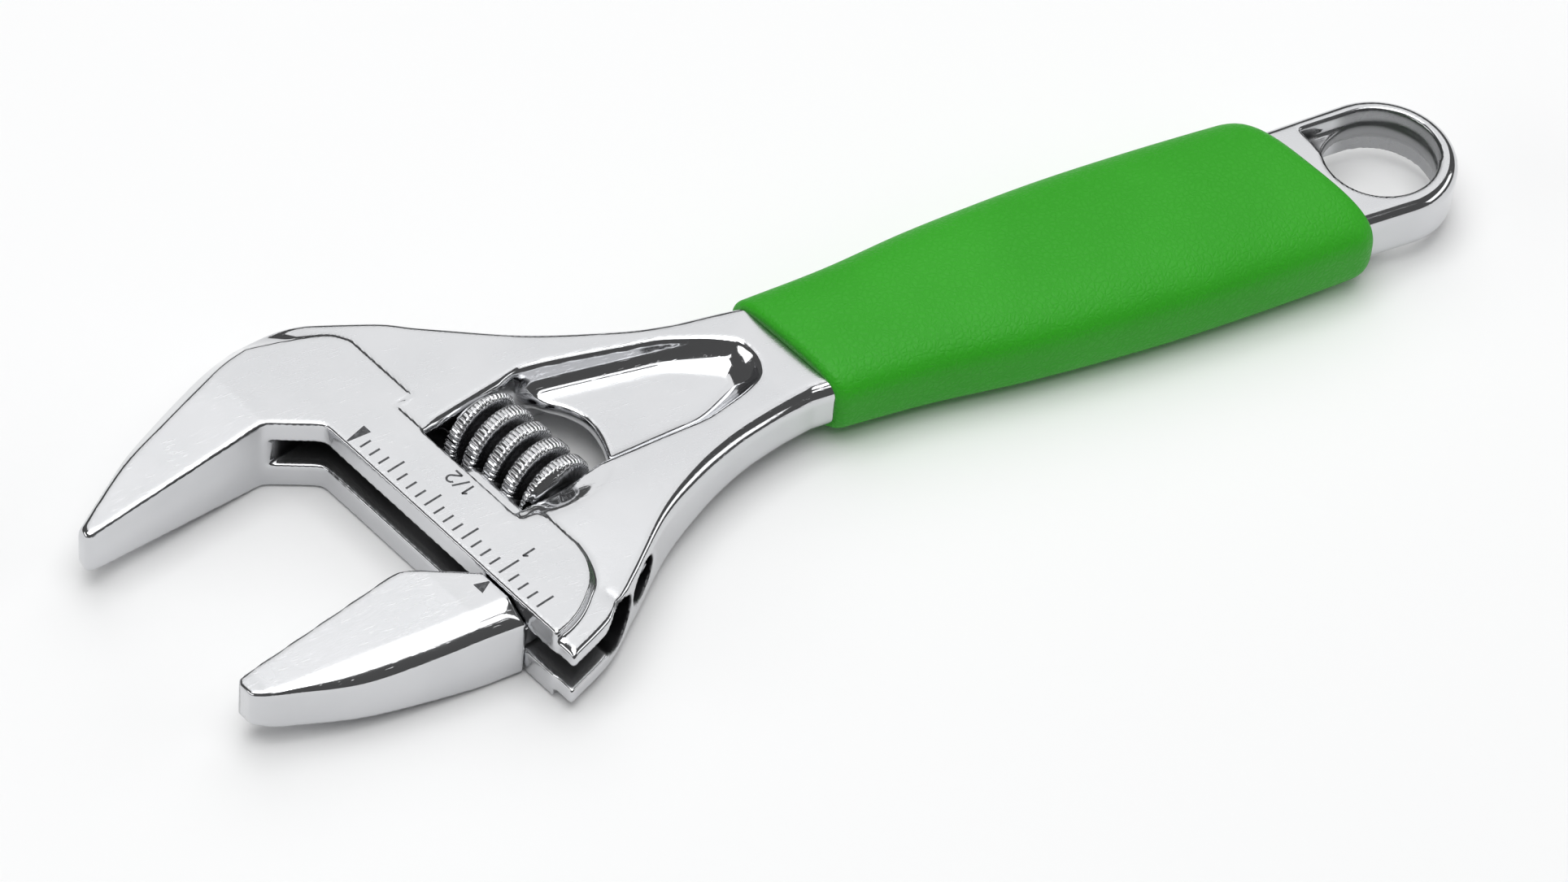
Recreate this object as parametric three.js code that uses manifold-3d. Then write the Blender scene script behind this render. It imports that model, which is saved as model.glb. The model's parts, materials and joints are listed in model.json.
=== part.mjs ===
// Adjustable wrench with a knurled worm, a slide-bar jaw, a dipped grip and a hanging eye.
// Units are millimetres. +X runs along the handle from the jaws to the eye, and +Z is up.
import * as THREE from 'three';
import { mergeVertices } from 'three/addons/utils/BufferGeometryUtils.js';
import loadManifold from 'manifold-3d';

// ---- Driving dimensions -------------------------------------------------------------------------

const CLEARANCE = 0.3; // between pieces that face each other
const DEGREE = Math.PI / 180;

// The head. Its own frame has A along the jaws, towards the handle, and B along the slide bar,
// towards the fixed jaw. The zero of the opening scale is the origin of that frame.
const HEAD_ANGLE = 15.5 * DEGREE; // from the handle's axis to the A axis
const HEAD_ORIGIN_X = -3.74;
const HEAD_ORIGIN_Y = 5.73;
const PLATE_TOP = 4.7; // height of the scale plate above the handle's mid-plane
const PLATE_BOTTOM = 6.0; // depth of the other plate below it
const FLANGE_THICKNESS = 7.4; // across the lower shoulders and the handle
const PLATE_FRONT = -0.9; // A of the face that the movable jaw slides along
const PLATE_BACK = 9.6;
const PLATE_RELIEF = 7.2; // A of the plate's back edge beside the worm
const FIXED_FACE = 8.0; // B of the fixed jaw's nut face
const LOWER_REACH = 39.2; // from the scale zero to the head's lower corner

// The jaws.
const JAW_TIP = 31.2; // from the scale zero to the tips
const JAW_TAPER = 3.6 * DEGREE; // slope of each jaw's upper side
const JAW_LOWER_TAPER = 6.5 * DEGREE; // slope of each jaw's lower side
const TAPER_START = -6.0; // A where the taper begins
const THROAT = 6.8; // A depth where the nut face ends and the throat begins
const MOVABLE_TOP = 4.4; // height of the movable jaw's flat above the mid-plane
const MOVABLE_BOTTOM = 5.7; // depth of its underside
const OPENING = 25.8; // between the nut faces as drawn
const MOVABLE_DEPTH = 14.0; // of the movable jaw at its base, behind its nut face
const MOVABLE_TIP_DEPTH = 2.8;
const BEVEL_DEPTH = 2.2; // of the movable jaw's long bevel, down from its flat
const BEVEL_INSET = 3.4; // of that bevel at the jaw's base
const TIP_CHAMFER = 0.6;

// The slide bar and its guide.
const BAR_RADIUS = 3.0;
const BAR_FRONT_WALL = 5.6; // from the plate's front face to the guide bore
const BAR_AHEAD = 8.3; // bar beyond the nut face's plane, on the fixed jaw's side
const BAR_BEHIND = 15.2; // bar beyond the nut face's plane, on the other side
const BAR_NOSE = 2.2; // chamfer of the bar's ends, and of the bore's blind end
const CLOSED_GAP = 0.2; // left between the nut faces when the jaws are shut
const NECK_THICKNESS = 3.2;
const NECK_START = 6.5; // from the nut face's plane
const NECK_END = 13.4;
const SLOT_TOP = 7.6; // B of the slot's closed end

// The worm, its pin and its spring.
const WORM_RADIUS = 5.6;
const WORM_PITCH = 3.175;
const TOOTH_DEPTH = 2.0;
const WORM_START = 4.6; // distance from the scale zero to the worm's near end
const WORM_LENGTH = 14.4;
const WORM_PHASE = 5.335; // where a crest's far edge crosses the A axis
const CREST_SHARE = 0.42; // of the pitch
const FLANK_SHARE = 0.13;
const CREST_CHAMFER = 0.6;
const PIN_RADIUS = 1.5;
const PIN_HEAD_RADIUS = 2.3;
const PIN_HOLE_DEPTH = 3.4; // of the blind end beyond the window
const PIN_RECESS = 1.2; // of the pin's head below the side of the body
const SIDE_SLOPE = 0.42; // of the body's side where the pin goes in, along B for each A
const PIN_SLOT_WIDTH = 0.8;
const PIN_SLOT_DEPTH = 1.0;
const PIN_NOSE = 0.3; // chamfer of the pin's ends
const SPRING_WIRE = 0.2; // radius
const SPRING_TURNS = 5;
const SPRING_POCKET = 3.6; // depth of the counterbore in the worm
const WINDOW_END_GAP = 0.6; // between the worm and each end of its window
const WINDOW_BACK_GAP = 4.6; // between the worm and the web
const RELIEF_TOP = 3.3; // from the window's upper end to where the plate's back edge steps out
const RELIEF_BOTTOM = 1.2; // from the window's lower end to the other step

// The handle.
const NECK_X = 48.0;
const HANDLE_NECK_WIDTH = 14.9;
const HANDLE_LENGTH = 79.6; // from the neck to the eye's centre
const EYE_RADIUS = 9.4; // of the ring round the hanging eye
const EYE_HOLE_RADIUS = 6.9;
const EYE_LIP = 0.35; // of the recess around the eye's hole
const WEB_THICKNESS = 2.0;
const RECESS_START_HALF = 7.3; // half width at the worm window
const RECESS_END_HALF = 5.2;
const RECESS_END_INSET = 2.3; // from the recess's end to the handle's neck
const EYE_RECESS_LENGTH = 7.0; // from the eye's centre back to the recess's square corner
const EYE_RECESS_FOOT = 2.2; // Y where the recess's straight side runs into the hole

// The grip.
const GRIP_START_INSET = 0.3; // behind the handle's neck
const GRIP_LENGTH = 69.4;
const GRIP_THICKNESS = 12.4;
const GRIP_FRONT_WIDTH = 18.8;
const GRIP_BULGE_WIDTH = 25.0;
const GRIP_REAR_WIDTH = 24.2;
const GRIP_BULGE_AT = 0.66; // share of the grip's length where it is widest
const GRIP_SQUARENESS = 2.6; // exponent of the grip's rounded section: 2 is an ellipse

// ---- Derived places -----------------------------------------------------------------------------

const BORE_RADIUS = BAR_RADIUS + CLEARANCE;
const BAR_A = PLATE_FRONT + BAR_FRONT_WALL + BORE_RADIUS;
const WORM_A = BAR_A + BAR_RADIUS + WORM_RADIUS - TOOTH_DEPTH;
const MOVABLE_FACE = FIXED_FACE - OPENING;
const CLOSED_FACE = FIXED_FACE - CLOSED_GAP;
const BORE_TOP = CLOSED_FACE + BAR_AHEAD + CLEARANCE;
const COIL_RADIUS = PIN_RADIUS + CLEARANCE + SPRING_WIRE;
const POCKET_RADIUS = COIL_RADIUS + SPRING_WIRE + CLEARANCE;
const WINDOW_TOP = -(WORM_START - WINDOW_END_GAP);
const WINDOW_BOTTOM = -(WORM_START + WORM_LENGTH + WINDOW_END_GAP);
const WINDOW_BACK = WORM_A + WORM_RADIUS + WINDOW_BACK_GAP;
const EYE_X = NECK_X + HANDLE_LENGTH;
const HALF_FLANGE = FLANGE_THICKNESS / 2;
const THROUGH = PLATE_TOP + PLATE_BOTTOM; // well past both faces
const OUTSIDE = LOWER_REACH + 10; // well clear of the head along B

// ---- Solids -------------------------------------------------------------------------------------

const wasm = await loadManifold();
wasm.setup();

/** A closed three.js geometry as a solid that can be joined and cut. */
function solid(geometry) {
  const bare = geometry.clone();
  bare.deleteAttribute('normal');
  bare.deleteAttribute('uv');
  const merged = mergeVertices(bare, 1e-5);
  return new wasm.Manifold(new wasm.Mesh({
    numProp: 3,
    vertProperties: Float32Array.from(merged.attributes.position.array),
    triVerts: Uint32Array.from(merged.index.array),
  }));
}

/** A solid as a three.js geometry. */
function geometryOf(shape) {
  const mesh = shape.getMesh();
  const geometry = new THREE.BufferGeometry();
  geometry.setAttribute('position', new THREE.BufferAttribute(Float32Array.from(mesh.vertProperties), 3));
  geometry.setIndex(Array.from(mesh.triVerts));
  geometry.computeVertexNormals();
  return geometry;
}

/** A flat outline raised from z = low to z = high. */
function prism(shape, low, high, divisions = 8) {
  const geometry = new THREE.ExtrudeGeometry(shape, {
    depth: high - low,
    bevelEnabled: false,
    curveSegments: divisions,
  });
  geometry.translate(0, 0, low);
  return geometry;
}

/** A box between two corners. */
function block(low, high) {
  const size = high.map((value, i) => value - low[i]);
  const geometry = new THREE.BoxGeometry(...size);
  geometry.translate(...high.map((value, i) => (value + low[i]) / 2));
  return geometry;
}

/** A round bar along B, at A = a, between two places on B, with its ends chamfered. */
function bar(a, radius, low, high, nose = 0, segments = 36) {
  const profile = [[0, low], [radius - nose, low], [radius, low + nose], [radius, high - nose],
    [radius - nose, high], [0, high]];
  const points = profile
    .filter(([r, b], i) => i === 0 || r !== profile[i - 1][0] || b !== profile[i - 1][1])
    .map(([r, b]) => new THREE.Vector2(r, b));
  const geometry = new THREE.LatheGeometry(points, segments);
  geometry.translate(a, 0, 0);
  return geometry;
}

const headPlacement = new THREE.Matrix4()
  .makeRotationZ(HEAD_ANGLE)
  .setPosition(HEAD_ORIGIN_X, HEAD_ORIGIN_Y, 0);

/** A geometry of the head's frame, moved into the handle's frame. */
function inHandle(geometry) {
  return geometry.clone().applyMatrix4(headPlacement);
}

/** A point of the head's frame as a point of the handle's frame. */
function headPoint(a, b) {
  const point = new THREE.Vector3(a, b, 0).applyMatrix4(headPlacement);
  return new THREE.Vector2(point.x, point.y);
}

/** An outline through corners, where an array of points between two corners is a smooth curve. */
function outline(items) {
  const shape = new THREE.Shape();
  items.forEach((item, i) => {
    if (Array.isArray(item)) shape.splineThru(item);
    else if (i === 0) shape.moveTo(item.x, item.y);
    else shape.lineTo(item.x, item.y);
  });
  return shape;
}

const at = (x, y) => new THREE.Vector2(x, y);

// ---- Body ---------------------------------------------------------------------------------------

/** The low outline of the whole forging: fixed jaw, shoulders, handle and eye. */
function flangeOutline() {
  const neck = HANDLE_NECK_WIDTH / 2;
  const tip = -JAW_TIP;
  const corner = headPoint(PLATE_FRONT, -LOWER_REACH);
  const lower = [at(12.4, -28.8), at(17.6, -24.2), at(24.5, -17.4), at(31, -13.1), at(37.2, -10.2),
    at(43, -8.4), at(NECK_X, -neck)];
  const upper = [at(43, 8.0), at(37, 8.5), at(31, 9.8), at(21, 13.2), at(11, 18.5), at(1.5, 24.2)];
  const crown = [headPoint(1.5, 20.6), headPoint(-4.7, 20.3), headPoint(-12.2, 18.4),
    headPoint(-18.9, 15.9), headPoint(-24.5, 13.1), headPoint(tip + 0.4, FIXED_FACE + 2.5)];
  const shape = outline([corner, lower]);
  shape.lineTo(EYE_X, -EYE_RADIUS);
  shape.absarc(EYE_X, 0, EYE_RADIUS, -Math.PI / 2, Math.PI / 2, false);
  shape.lineTo(NECK_X, neck);
  shape.splineThru([...upper, ...crown]);
  for (const point of throatPoints(tip)) shape.lineTo(point.x, point.y);
  return shape;
}

/** The fixed jaw's nut face and the throat down to the plate's front face. */
function throatPoints(tip) {
  return [
    headPoint(tip, FIXED_FACE + TIP_CHAMFER),
    headPoint(tip + TIP_CHAMFER, FIXED_FACE),
    headPoint(-THROAT, FIXED_FACE),
    headPoint(-THROAT + 1.2, FIXED_FACE - 0.5),
    headPoint(PLATE_FRONT - 0.4, FIXED_FACE - 4.3),
    headPoint(PLATE_FRONT, FIXED_FACE - 5.2),
  ];
}

/** The raised scale plate with the fixed jaw's flat top. */
function plateOutline() {
  const tip = -JAW_TIP;
  const back = [headPoint(PLATE_BACK, -27.7), headPoint(PLATE_BACK, WINDOW_BOTTOM - RELIEF_BOTTOM)];
  const lowerEdge = [headPoint(1.7, -35.7), headPoint(4.3, -34.8), headPoint(7.5, -32.5), back[0]];
  const upperEdge = [headPoint(7.9, 14.0), headPoint(2.9, 16.7), headPoint(-0.5, 17.9)];
  const crown = [headPoint(-7.4, 16.9), headPoint(-14.6, 15.3), headPoint(-21.8, 13.4),
    headPoint(tip + 0.8, FIXED_FACE + 2.2)];
  return outline([
    headPoint(PLATE_FRONT, -36.1),
    lowerEdge,
    back[1],
    headPoint(PLATE_RELIEF, WINDOW_BOTTOM - RELIEF_BOTTOM),
    headPoint(PLATE_RELIEF, WINDOW_TOP + RELIEF_TOP),
    headPoint(PLATE_BACK, WINDOW_TOP + RELIEF_TOP),
    headPoint(PLATE_BACK, 12.0),
    upperEdge,
    crown,
    ...throatPoints(tip),
  ]);
}

/** The wedge that thins a jaw's upper side towards its tip, from B = low to B = high. */
function taperCut(height, slope, low, high) {
  const reach = JAW_TIP + 10;
  const drop = Math.tan(slope) * (reach + TAPER_START);
  const wedge = outline([at(TAPER_START, height), at(-reach, height - drop), at(-reach, THROUGH),
    at(TAPER_START, THROUGH)]);
  return prism(wedge, -high, -low).rotateX(Math.PI / 2);
}

/** The wedges for both sides of a jaw. */
function taperCuts(top, bottom, low, high) {
  const upper = taperCut(top, JAW_TAPER, low, high);
  const lower = taperCut(bottom, JAW_LOWER_TAPER, -high, -low).rotateX(Math.PI);
  return [upper, lower];
}

/** The window that the worm turns in, open on both sides of the body. */
function windowCut() {
  const corner = WORM_A + WORM_RADIUS + CLEARANCE;
  const middle = (WINDOW_TOP + WINDOW_BOTTOM) / 2;
  const shape = outline([
    at(PLATE_RELIEF, WINDOW_BOTTOM),
    at(corner, WINDOW_BOTTOM),
    [at(WINDOW_BACK - 1.2, middle - 4.6), at(WINDOW_BACK, middle), at(WINDOW_BACK - 1.2, middle + 4.6),
      at(corner, WINDOW_TOP)],
    at(PLATE_RELIEF, WINDOW_TOP),
  ]);
  return prism(shape, -THROUGH, THROUGH, 4);
}

/** The slot for the movable jaw's neck, open at the head's lower end. */
function slotCut() {
  const half = NECK_THICKNESS / 2 + CLEARANCE;
  return block([-THROAT - NECK_END, -OUTSIDE, -half], [BAR_A, SLOT_TOP, half]);
}

/** One of the two long pockets beside the web, behind the worm window. */
function frontRecess() {
  const end = NECK_X - RECESS_END_INSET;
  const round = RECESS_END_HALF - 0.6;
  const start = headPoint(WORM_A + WORM_RADIUS, (WINDOW_TOP + WINDOW_BOTTOM) / 2).x;
  const shape = new THREE.Shape();
  shape.moveTo(start, -RECESS_START_HALF);
  shape.lineTo(end - round, -RECESS_END_HALF);
  shape.absellipse(end - round, 0, round, RECESS_END_HALF, -Math.PI / 2, Math.PI / 2, false);
  shape.lineTo(start, RECESS_START_HALF);
  return shape;
}

/** One of the two pockets round the far side of the eye's hole, each with one square corner. */
function eyeRecess() {
  const reach = EYE_HOLE_RADIUS + EYE_LIP;
  const foot = Math.sqrt(EYE_HOLE_RADIUS ** 2 - EYE_RECESS_FOOT ** 2) - EYE_LIP;
  const shape = new THREE.Shape();
  shape.moveTo(EYE_X, 0);
  shape.absarc(EYE_X, 0, reach, -Math.PI / 6, Math.PI / 2, false);
  shape.lineTo(EYE_X - EYE_RECESS_LENGTH, reach);
  shape.lineTo(EYE_X - foot, EYE_RECESS_FOOT);
  return shape;
}

/** A pocket of a given outline cut from both sides, down to the web. */
function pocketCuts(shape) {
  const floor = WEB_THICKNESS / 2;
  return [prism(shape, floor, THROUGH), prism(shape, -THROUGH, -floor)];
}

/** The whole forging. */
function buildBody() {
  const eyeHole = new THREE.CylinderGeometry(EYE_HOLE_RADIUS, EYE_HOLE_RADIUS, THROUGH, 40);
  eyeHole.rotateX(Math.PI / 2);
  eyeHole.translate(EYE_X, 0, 0);
  const pinHole = bar(WORM_A, PIN_RADIUS + CLEARANCE, WINDOW_TOP - 1, WINDOW_TOP + PIN_HOLE_DEPTH);
  const headHole = bar(WORM_A, PIN_HEAD_RADIUS + CLEARANCE, -OUTSIDE, WINDOW_BOTTOM + 1);
  const bore = bar(BAR_A, BORE_RADIUS, -OUTSIDE, BORE_TOP, BAR_NOSE);
  const forging = solid(prism(flangeOutline(), -HALF_FLANGE, HALF_FLANGE, 5))
    .add(solid(prism(plateOutline(), -PLATE_BOTTOM, PLATE_TOP, 5)));
  const tapers = taperCuts(PLATE_TOP, PLATE_BOTTOM, 0, OUTSIDE);
  const headCuts = [...tapers, windowCut(), slotCut(), bore, pinHole, headHole];
  const cuts = [...headCuts.map(inHandle), ...pocketCuts(frontRecess()), ...pocketCuts(eyeRecess()), eyeHole];
  return cuts.reduce((shape, cut) => shape.subtract(solid(cut)), forging);
}

// ---- Worm ---------------------------------------------------------------------------------------

/** The radius of the screw at a distance u along it and a turn share, grown by a clearance. */
function screwRadius(u, turn, grow) {
  const edge = grow / WORM_PITCH;
  const phase = (u - WORM_PHASE) / WORM_PITCH - turn;
  const fromCrest = Math.abs(phase + CREST_SHARE / 2 - Math.round(phase + CREST_SHARE / 2));
  const fall = (fromCrest - CREST_SHARE / 2 - edge) / FLANK_SHARE;
  return WORM_RADIUS + grow - TOOTH_DEPTH * Math.min(Math.max(fall, 0), 1);
}

/** A screw along B, about its own axis, from u = low to u = high, with u running against B. */
function screw(low, high, grow, columns, rowsPerPitch) {
  const rows = Math.ceil((high - low) / (WORM_PITCH / rowsPerPitch));
  const positions = [];
  const faces = [];
  for (let i = 0; i <= rows; i += 1) {
    const u = low + (high - low) * (i / rows);
    for (let j = 0; j < columns; j += 1) {
      const angle = (2 * Math.PI * j) / columns;
      const radius = screwRadius(u, j / columns, grow);
      positions.push(radius * Math.cos(angle), -u, radius * Math.sin(angle));
    }
  }
  const index = (i, j) => i * columns + (j % columns);
  for (let i = 0; i < rows; i += 1) {
    for (let j = 0; j < columns; j += 1) {
      faces.push(index(i, j), index(i, j + 1), index(i + 1, j));
      faces.push(index(i + 1, j), index(i, j + 1), index(i + 1, j + 1));
    }
  }
  const lowCentre = positions.length / 3;
  positions.push(0, -low, 0, 0, -high, 0);
  for (let j = 0; j < columns; j += 1) {
    faces.push(lowCentre, index(0, j + 1), index(0, j));
    faces.push(lowCentre + 1, index(rows, j), index(rows, j + 1));
  }
  const geometry = new THREE.BufferGeometry();
  geometry.setAttribute('position', new THREE.Float32BufferAttribute(positions, 3));
  geometry.setIndex(faces);
  return geometry;
}

/** The adjusting worm, with chamfered ends, a running bore and a pocket for its spring. */
function buildWorm() {
  const end = WORM_START + WORM_LENGTH;
  const thread = screw(WORM_START - WORM_PITCH, end + WORM_PITCH, 0, 32, 10);
  const envelope = bar(0, WORM_RADIUS + 0.01, -end, -WORM_START, CREST_CHAMFER, 32);
  const runningBore = bar(0, PIN_RADIUS + CLEARANCE, -end - 1, -WORM_START + 1, 0, 24);
  const pocket = bar(0, POCKET_RADIUS, -WORM_START - SPRING_POCKET, -WORM_START + 1, 0, 24);
  return solid(thread)
    .intersect(solid(envelope))
    .subtract(solid(runningBore))
    .subtract(solid(pocket));
}

/** The screwed-in pin: a slotted head in the body's side and a plain shank through the worm. */
function buildPin() {
  const sideOfBody = -(LOWER_REACH - (WORM_A - PLATE_FRONT) * SIDE_SLOPE);
  const headEnd = sideOfBody + PIN_RECESS;
  const shankEnd = WINDOW_TOP + PIN_HOLE_DEPTH - CLEARANCE;
  const head = bar(WORM_A, PIN_HEAD_RADIUS, headEnd, WINDOW_BOTTOM - CLEARANCE, PIN_NOSE, 28);
  const shank = bar(WORM_A, PIN_RADIUS, WINDOW_BOTTOM - 2, shankEnd, PIN_NOSE, 28);
  const half = PIN_SLOT_WIDTH / 2;
  const slot = block([WORM_A - PIN_HEAD_RADIUS - 1, headEnd - 1, -half],
    [WORM_A + PIN_HEAD_RADIUS + 1, headEnd + PIN_SLOT_DEPTH, half]);
  return solid(head).add(solid(shank)).subtract(solid(slot));
}

/** The coil spring between the body and the bottom of the worm's pocket. */
function buildSpring() {
  const near = WORM_START - WINDOW_END_GAP + CLEARANCE + SPRING_WIRE;
  const far = WORM_START + SPRING_POCKET - CLEARANCE - SPRING_WIRE;
  class Helix extends THREE.Curve {
    getPoint(t, target = new THREE.Vector3()) {
      const angle = 2 * Math.PI * SPRING_TURNS * t;
      const along = near + (far - near) * t;
      return target.set(WORM_A + COIL_RADIUS * Math.cos(angle), -along, COIL_RADIUS * Math.sin(angle));
    }
  }
  const section = new THREE.Shape();
  section.absarc(0, 0, SPRING_WIRE, 0, 2 * Math.PI, false);
  return solid(new THREE.ExtrudeGeometry(section, {
    steps: SPRING_TURNS * 14,
    extrudePath: new Helix(),
    bevelEnabled: false,
    curveSegments: 6,
  }));
}

// ---- Movable jaw --------------------------------------------------------------------------------

/** The jaw's outline in the head's frame, with its outer side curved through three places. */
function movableOutline(baseDepth, middle, tipDepth) {
  const behind = (a, depth) => at(a, MOVABLE_FACE - depth);
  const base = PLATE_FRONT - CLEARANCE;
  return outline([
    behind(-JAW_TIP + TIP_CHAMFER, 0),
    behind(-JAW_TIP, TIP_CHAMFER),
    behind(-JAW_TIP, tipDepth - TIP_CHAMFER),
    behind(-JAW_TIP + TIP_CHAMFER, tipDepth),
    middle.map(([a, depth]) => behind(a, depth)).concat(behind(base, baseDepth)),
    behind(base, THROAT - 0.7),
    behind(-THROAT + 0.7, 1.6),
    behind(-THROAT - 2.2, 0),
  ]);
}

/** The movable jaw with its neck and the rack cut in its slide bar. */
function buildMovableJaw() {
  const wide = movableOutline(MOVABLE_DEPTH, [[-27.3, 5.1], [-20.1, 8.8], [-10.7, 11.7]], MOVABLE_TIP_DEPTH);
  const narrow = movableOutline(MOVABLE_DEPTH - BEVEL_INSET, [[-27.3, 4.2], [-17.8, 6.7], [-8.4, 9.2]],
    MOVABLE_TIP_DEPTH - TIP_CHAMFER);
  const base = MOVABLE_FACE - NECK_END;
  const neck = block([PLATE_FRONT - 1, base, -NECK_THICKNESS / 2],
    [BAR_A, MOVABLE_FACE - NECK_START, NECK_THICKNESS / 2]);
  const slide = bar(BAR_A, BAR_RADIUS, MOVABLE_FACE - BAR_BEHIND, MOVABLE_FACE + BAR_AHEAD, BAR_NOSE);
  const rackStart = -MOVABLE_FACE - BAR_AHEAD - 1;
  const rackEnd = -MOVABLE_FACE + BAR_BEHIND + 1;
  const mate = screw(rackStart, rackEnd, CLEARANCE, 36, 8).translate(WORM_A, 0, 0);
  const [upper, lower] = taperCuts(MOVABLE_TOP, MOVABLE_BOTTOM, -OUTSIDE, 0);
  return solid(prism(wide, -MOVABLE_BOTTOM, MOVABLE_TOP - BEVEL_DEPTH, 5))
    .add(solid(prism(narrow, 0, MOVABLE_TOP, 5)))
    .subtract(solid(upper))
    .subtract(solid(lower))
    .add(solid(neck))
    .add(solid(slide))
    .subtract(solid(mate));
}

// ---- Grip ---------------------------------------------------------------------------------------

/** The grip's half width at a share of its length. */
function gripHalfWidth(share) {
  const front = GRIP_FRONT_WIDTH / 2;
  const bulge = GRIP_BULGE_WIDTH / 2;
  const rear = GRIP_REAR_WIDTH / 2;
  if (share < GRIP_BULGE_AT) {
    return front + (bulge - front) * Math.sin((Math.PI / 2) * Math.max(share / GRIP_BULGE_AT, 0));
  }
  const past = (share - GRIP_BULGE_AT) / (1 - GRIP_BULGE_AT);
  return bulge - (bulge - rear) * past * past;
}

/** The dipped sleeve: a rounded, bulging section with both ends cut along the slide direction. */
function buildGrip() {
  const stations = 24;
  const around = 32;
  const start = NECK_X + GRIP_START_INSET;
  const spill = GRIP_BULGE_WIDTH / 4;
  const positions = [];
  const faces = [];
  for (let i = 0; i <= stations; i += 1) {
    const x = start - spill + ((GRIP_LENGTH + 2 * spill) * i) / stations;
    const share = Math.min((x - start) / GRIP_LENGTH, 1);
    const halfWidth = gripHalfWidth(share);
    for (let j = 0; j < around; j += 1) {
      const angle = (2 * Math.PI * j) / around;
      const [c, s] = [Math.cos(angle), Math.sin(angle)];
      const y = halfWidth * Math.sign(c) * Math.abs(c) ** (2 / GRIP_SQUARENESS);
      const z = (GRIP_THICKNESS / 2) * Math.sign(s) * Math.abs(s) ** (2 / GRIP_SQUARENESS);
      positions.push(x, y, z);
    }
  }
  const index = (i, j) => i * around + (j % around);
  for (let i = 0; i < stations; i += 1) {
    for (let j = 0; j < around; j += 1) {
      faces.push(index(i, j), index(i, j + 1), index(i + 1, j));
      faces.push(index(i + 1, j), index(i, j + 1), index(i + 1, j + 1));
    }
  }
  for (let j = 1; j < around - 1; j += 1) {
    faces.push(index(0, 0), index(0, j + 1), index(0, j));
    faces.push(index(stations, 0), index(stations, j), index(stations, j + 1));
  }
  const geometry = new THREE.BufferGeometry();
  geometry.setAttribute('position', new THREE.Float32BufferAttribute(positions, 3));
  geometry.setIndex(faces);
  const slant = Math.tan(HEAD_ANGLE) * GRIP_BULGE_WIDTH;
  const slab = outline([
    at(start - slant, GRIP_BULGE_WIDTH),
    at(start + slant, -GRIP_BULGE_WIDTH),
    at(start + GRIP_LENGTH + slant, -GRIP_BULGE_WIDTH),
    at(start + GRIP_LENGTH - slant, GRIP_BULGE_WIDTH),
  ]);
  return solid(geometry)
    .intersect(solid(prism(slab, -THROUGH, THROUGH)))
    .subtract(solid(prism(handleCore(), -HALF_FLANGE - CLEARANCE, HALF_FLANGE + CLEARANCE)));
}

/** The handle's outline under the grip, with clearance. */
function handleCore() {
  const neck = HANDLE_NECK_WIDTH / 2 + CLEARANCE;
  const eye = EYE_RADIUS + CLEARANCE;
  const early = NECK_X - 12;
  const flare = 1.6;
  return outline([
    at(early, -neck - flare),
    at(NECK_X, -neck),
    at(EYE_X + EYE_RADIUS, -eye),
    at(EYE_X + EYE_RADIUS, eye),
    at(NECK_X, neck),
    at(early, neck + flare),
  ]);
}

// ---- Assembly -----------------------------------------------------------------------------------

const CHROME = { color: 0xd6d8db, roughness: 0.18, metalness: 1.0 };
const WORM_CHROME = { color: 0xc9ccd0, roughness: 0.24, metalness: 1.0 };
const PIN_STEEL = { color: 0x8c9095, roughness: 0.35, metalness: 1.0 };
const SPRING_STEEL = { color: 0x767a80, roughness: 0.4, metalness: 1.0 };
const GREEN_GRIP = { color: 0x43a332, roughness: 0.45, metalness: 0.0 };

/** A named mesh of a solid with a material of its own. */
function part(name, shape, finish) {
  const mesh = new THREE.Mesh(geometryOf(shape), new THREE.MeshStandardMaterial(finish));
  mesh.name = name;
  return mesh;
}

const worm = part('worm', buildWorm(), WORM_CHROME);
worm.position.x = WORM_A;

const head = new THREE.Group();
head.rotation.z = HEAD_ANGLE;
head.position.set(HEAD_ORIGIN_X, HEAD_ORIGIN_Y, 0);
head.add(
  part('movable_jaw', buildMovableJaw(), CHROME),
  worm,
  part('worm_pin', buildPin(), PIN_STEEL),
  part('worm_spring', buildSpring(), SPRING_STEEL),
);

const tool = new THREE.Group();
tool.add(part('body', buildBody(), CHROME), part('grip', buildGrip(), GREEN_GRIP), head);

// The origin is under the middle of the tool's box, at its lowest point.
const wrench = new THREE.Group();
wrench.add(tool);
wrench.updateMatrixWorld(true);
const extent = new THREE.Box3().setFromObject(wrench, true);
const centre = extent.getCenter(new THREE.Vector3());
tool.position.set(-centre.x, -centre.y, -extent.min.z);

export default wrench;
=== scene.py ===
"""Fine meshes and finishes of an adjustable wrench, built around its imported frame.

Lengths inside the builders are millimetres. The handle's frame has x along the handle and z = 0 on
the tool's mid-plane; the head's frame is turned from it, with a along the jaws towards the handle
and b along the slide bar towards the fixed jaw. Meshes leave the builders in metres, in the row frame.
"""

import json
import logging
import math
from dataclasses import dataclass, field
from enum import Enum
from typing import Any, Sequence

import bpy
import numpy as np
from mathutils import Matrix, Vector


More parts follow.
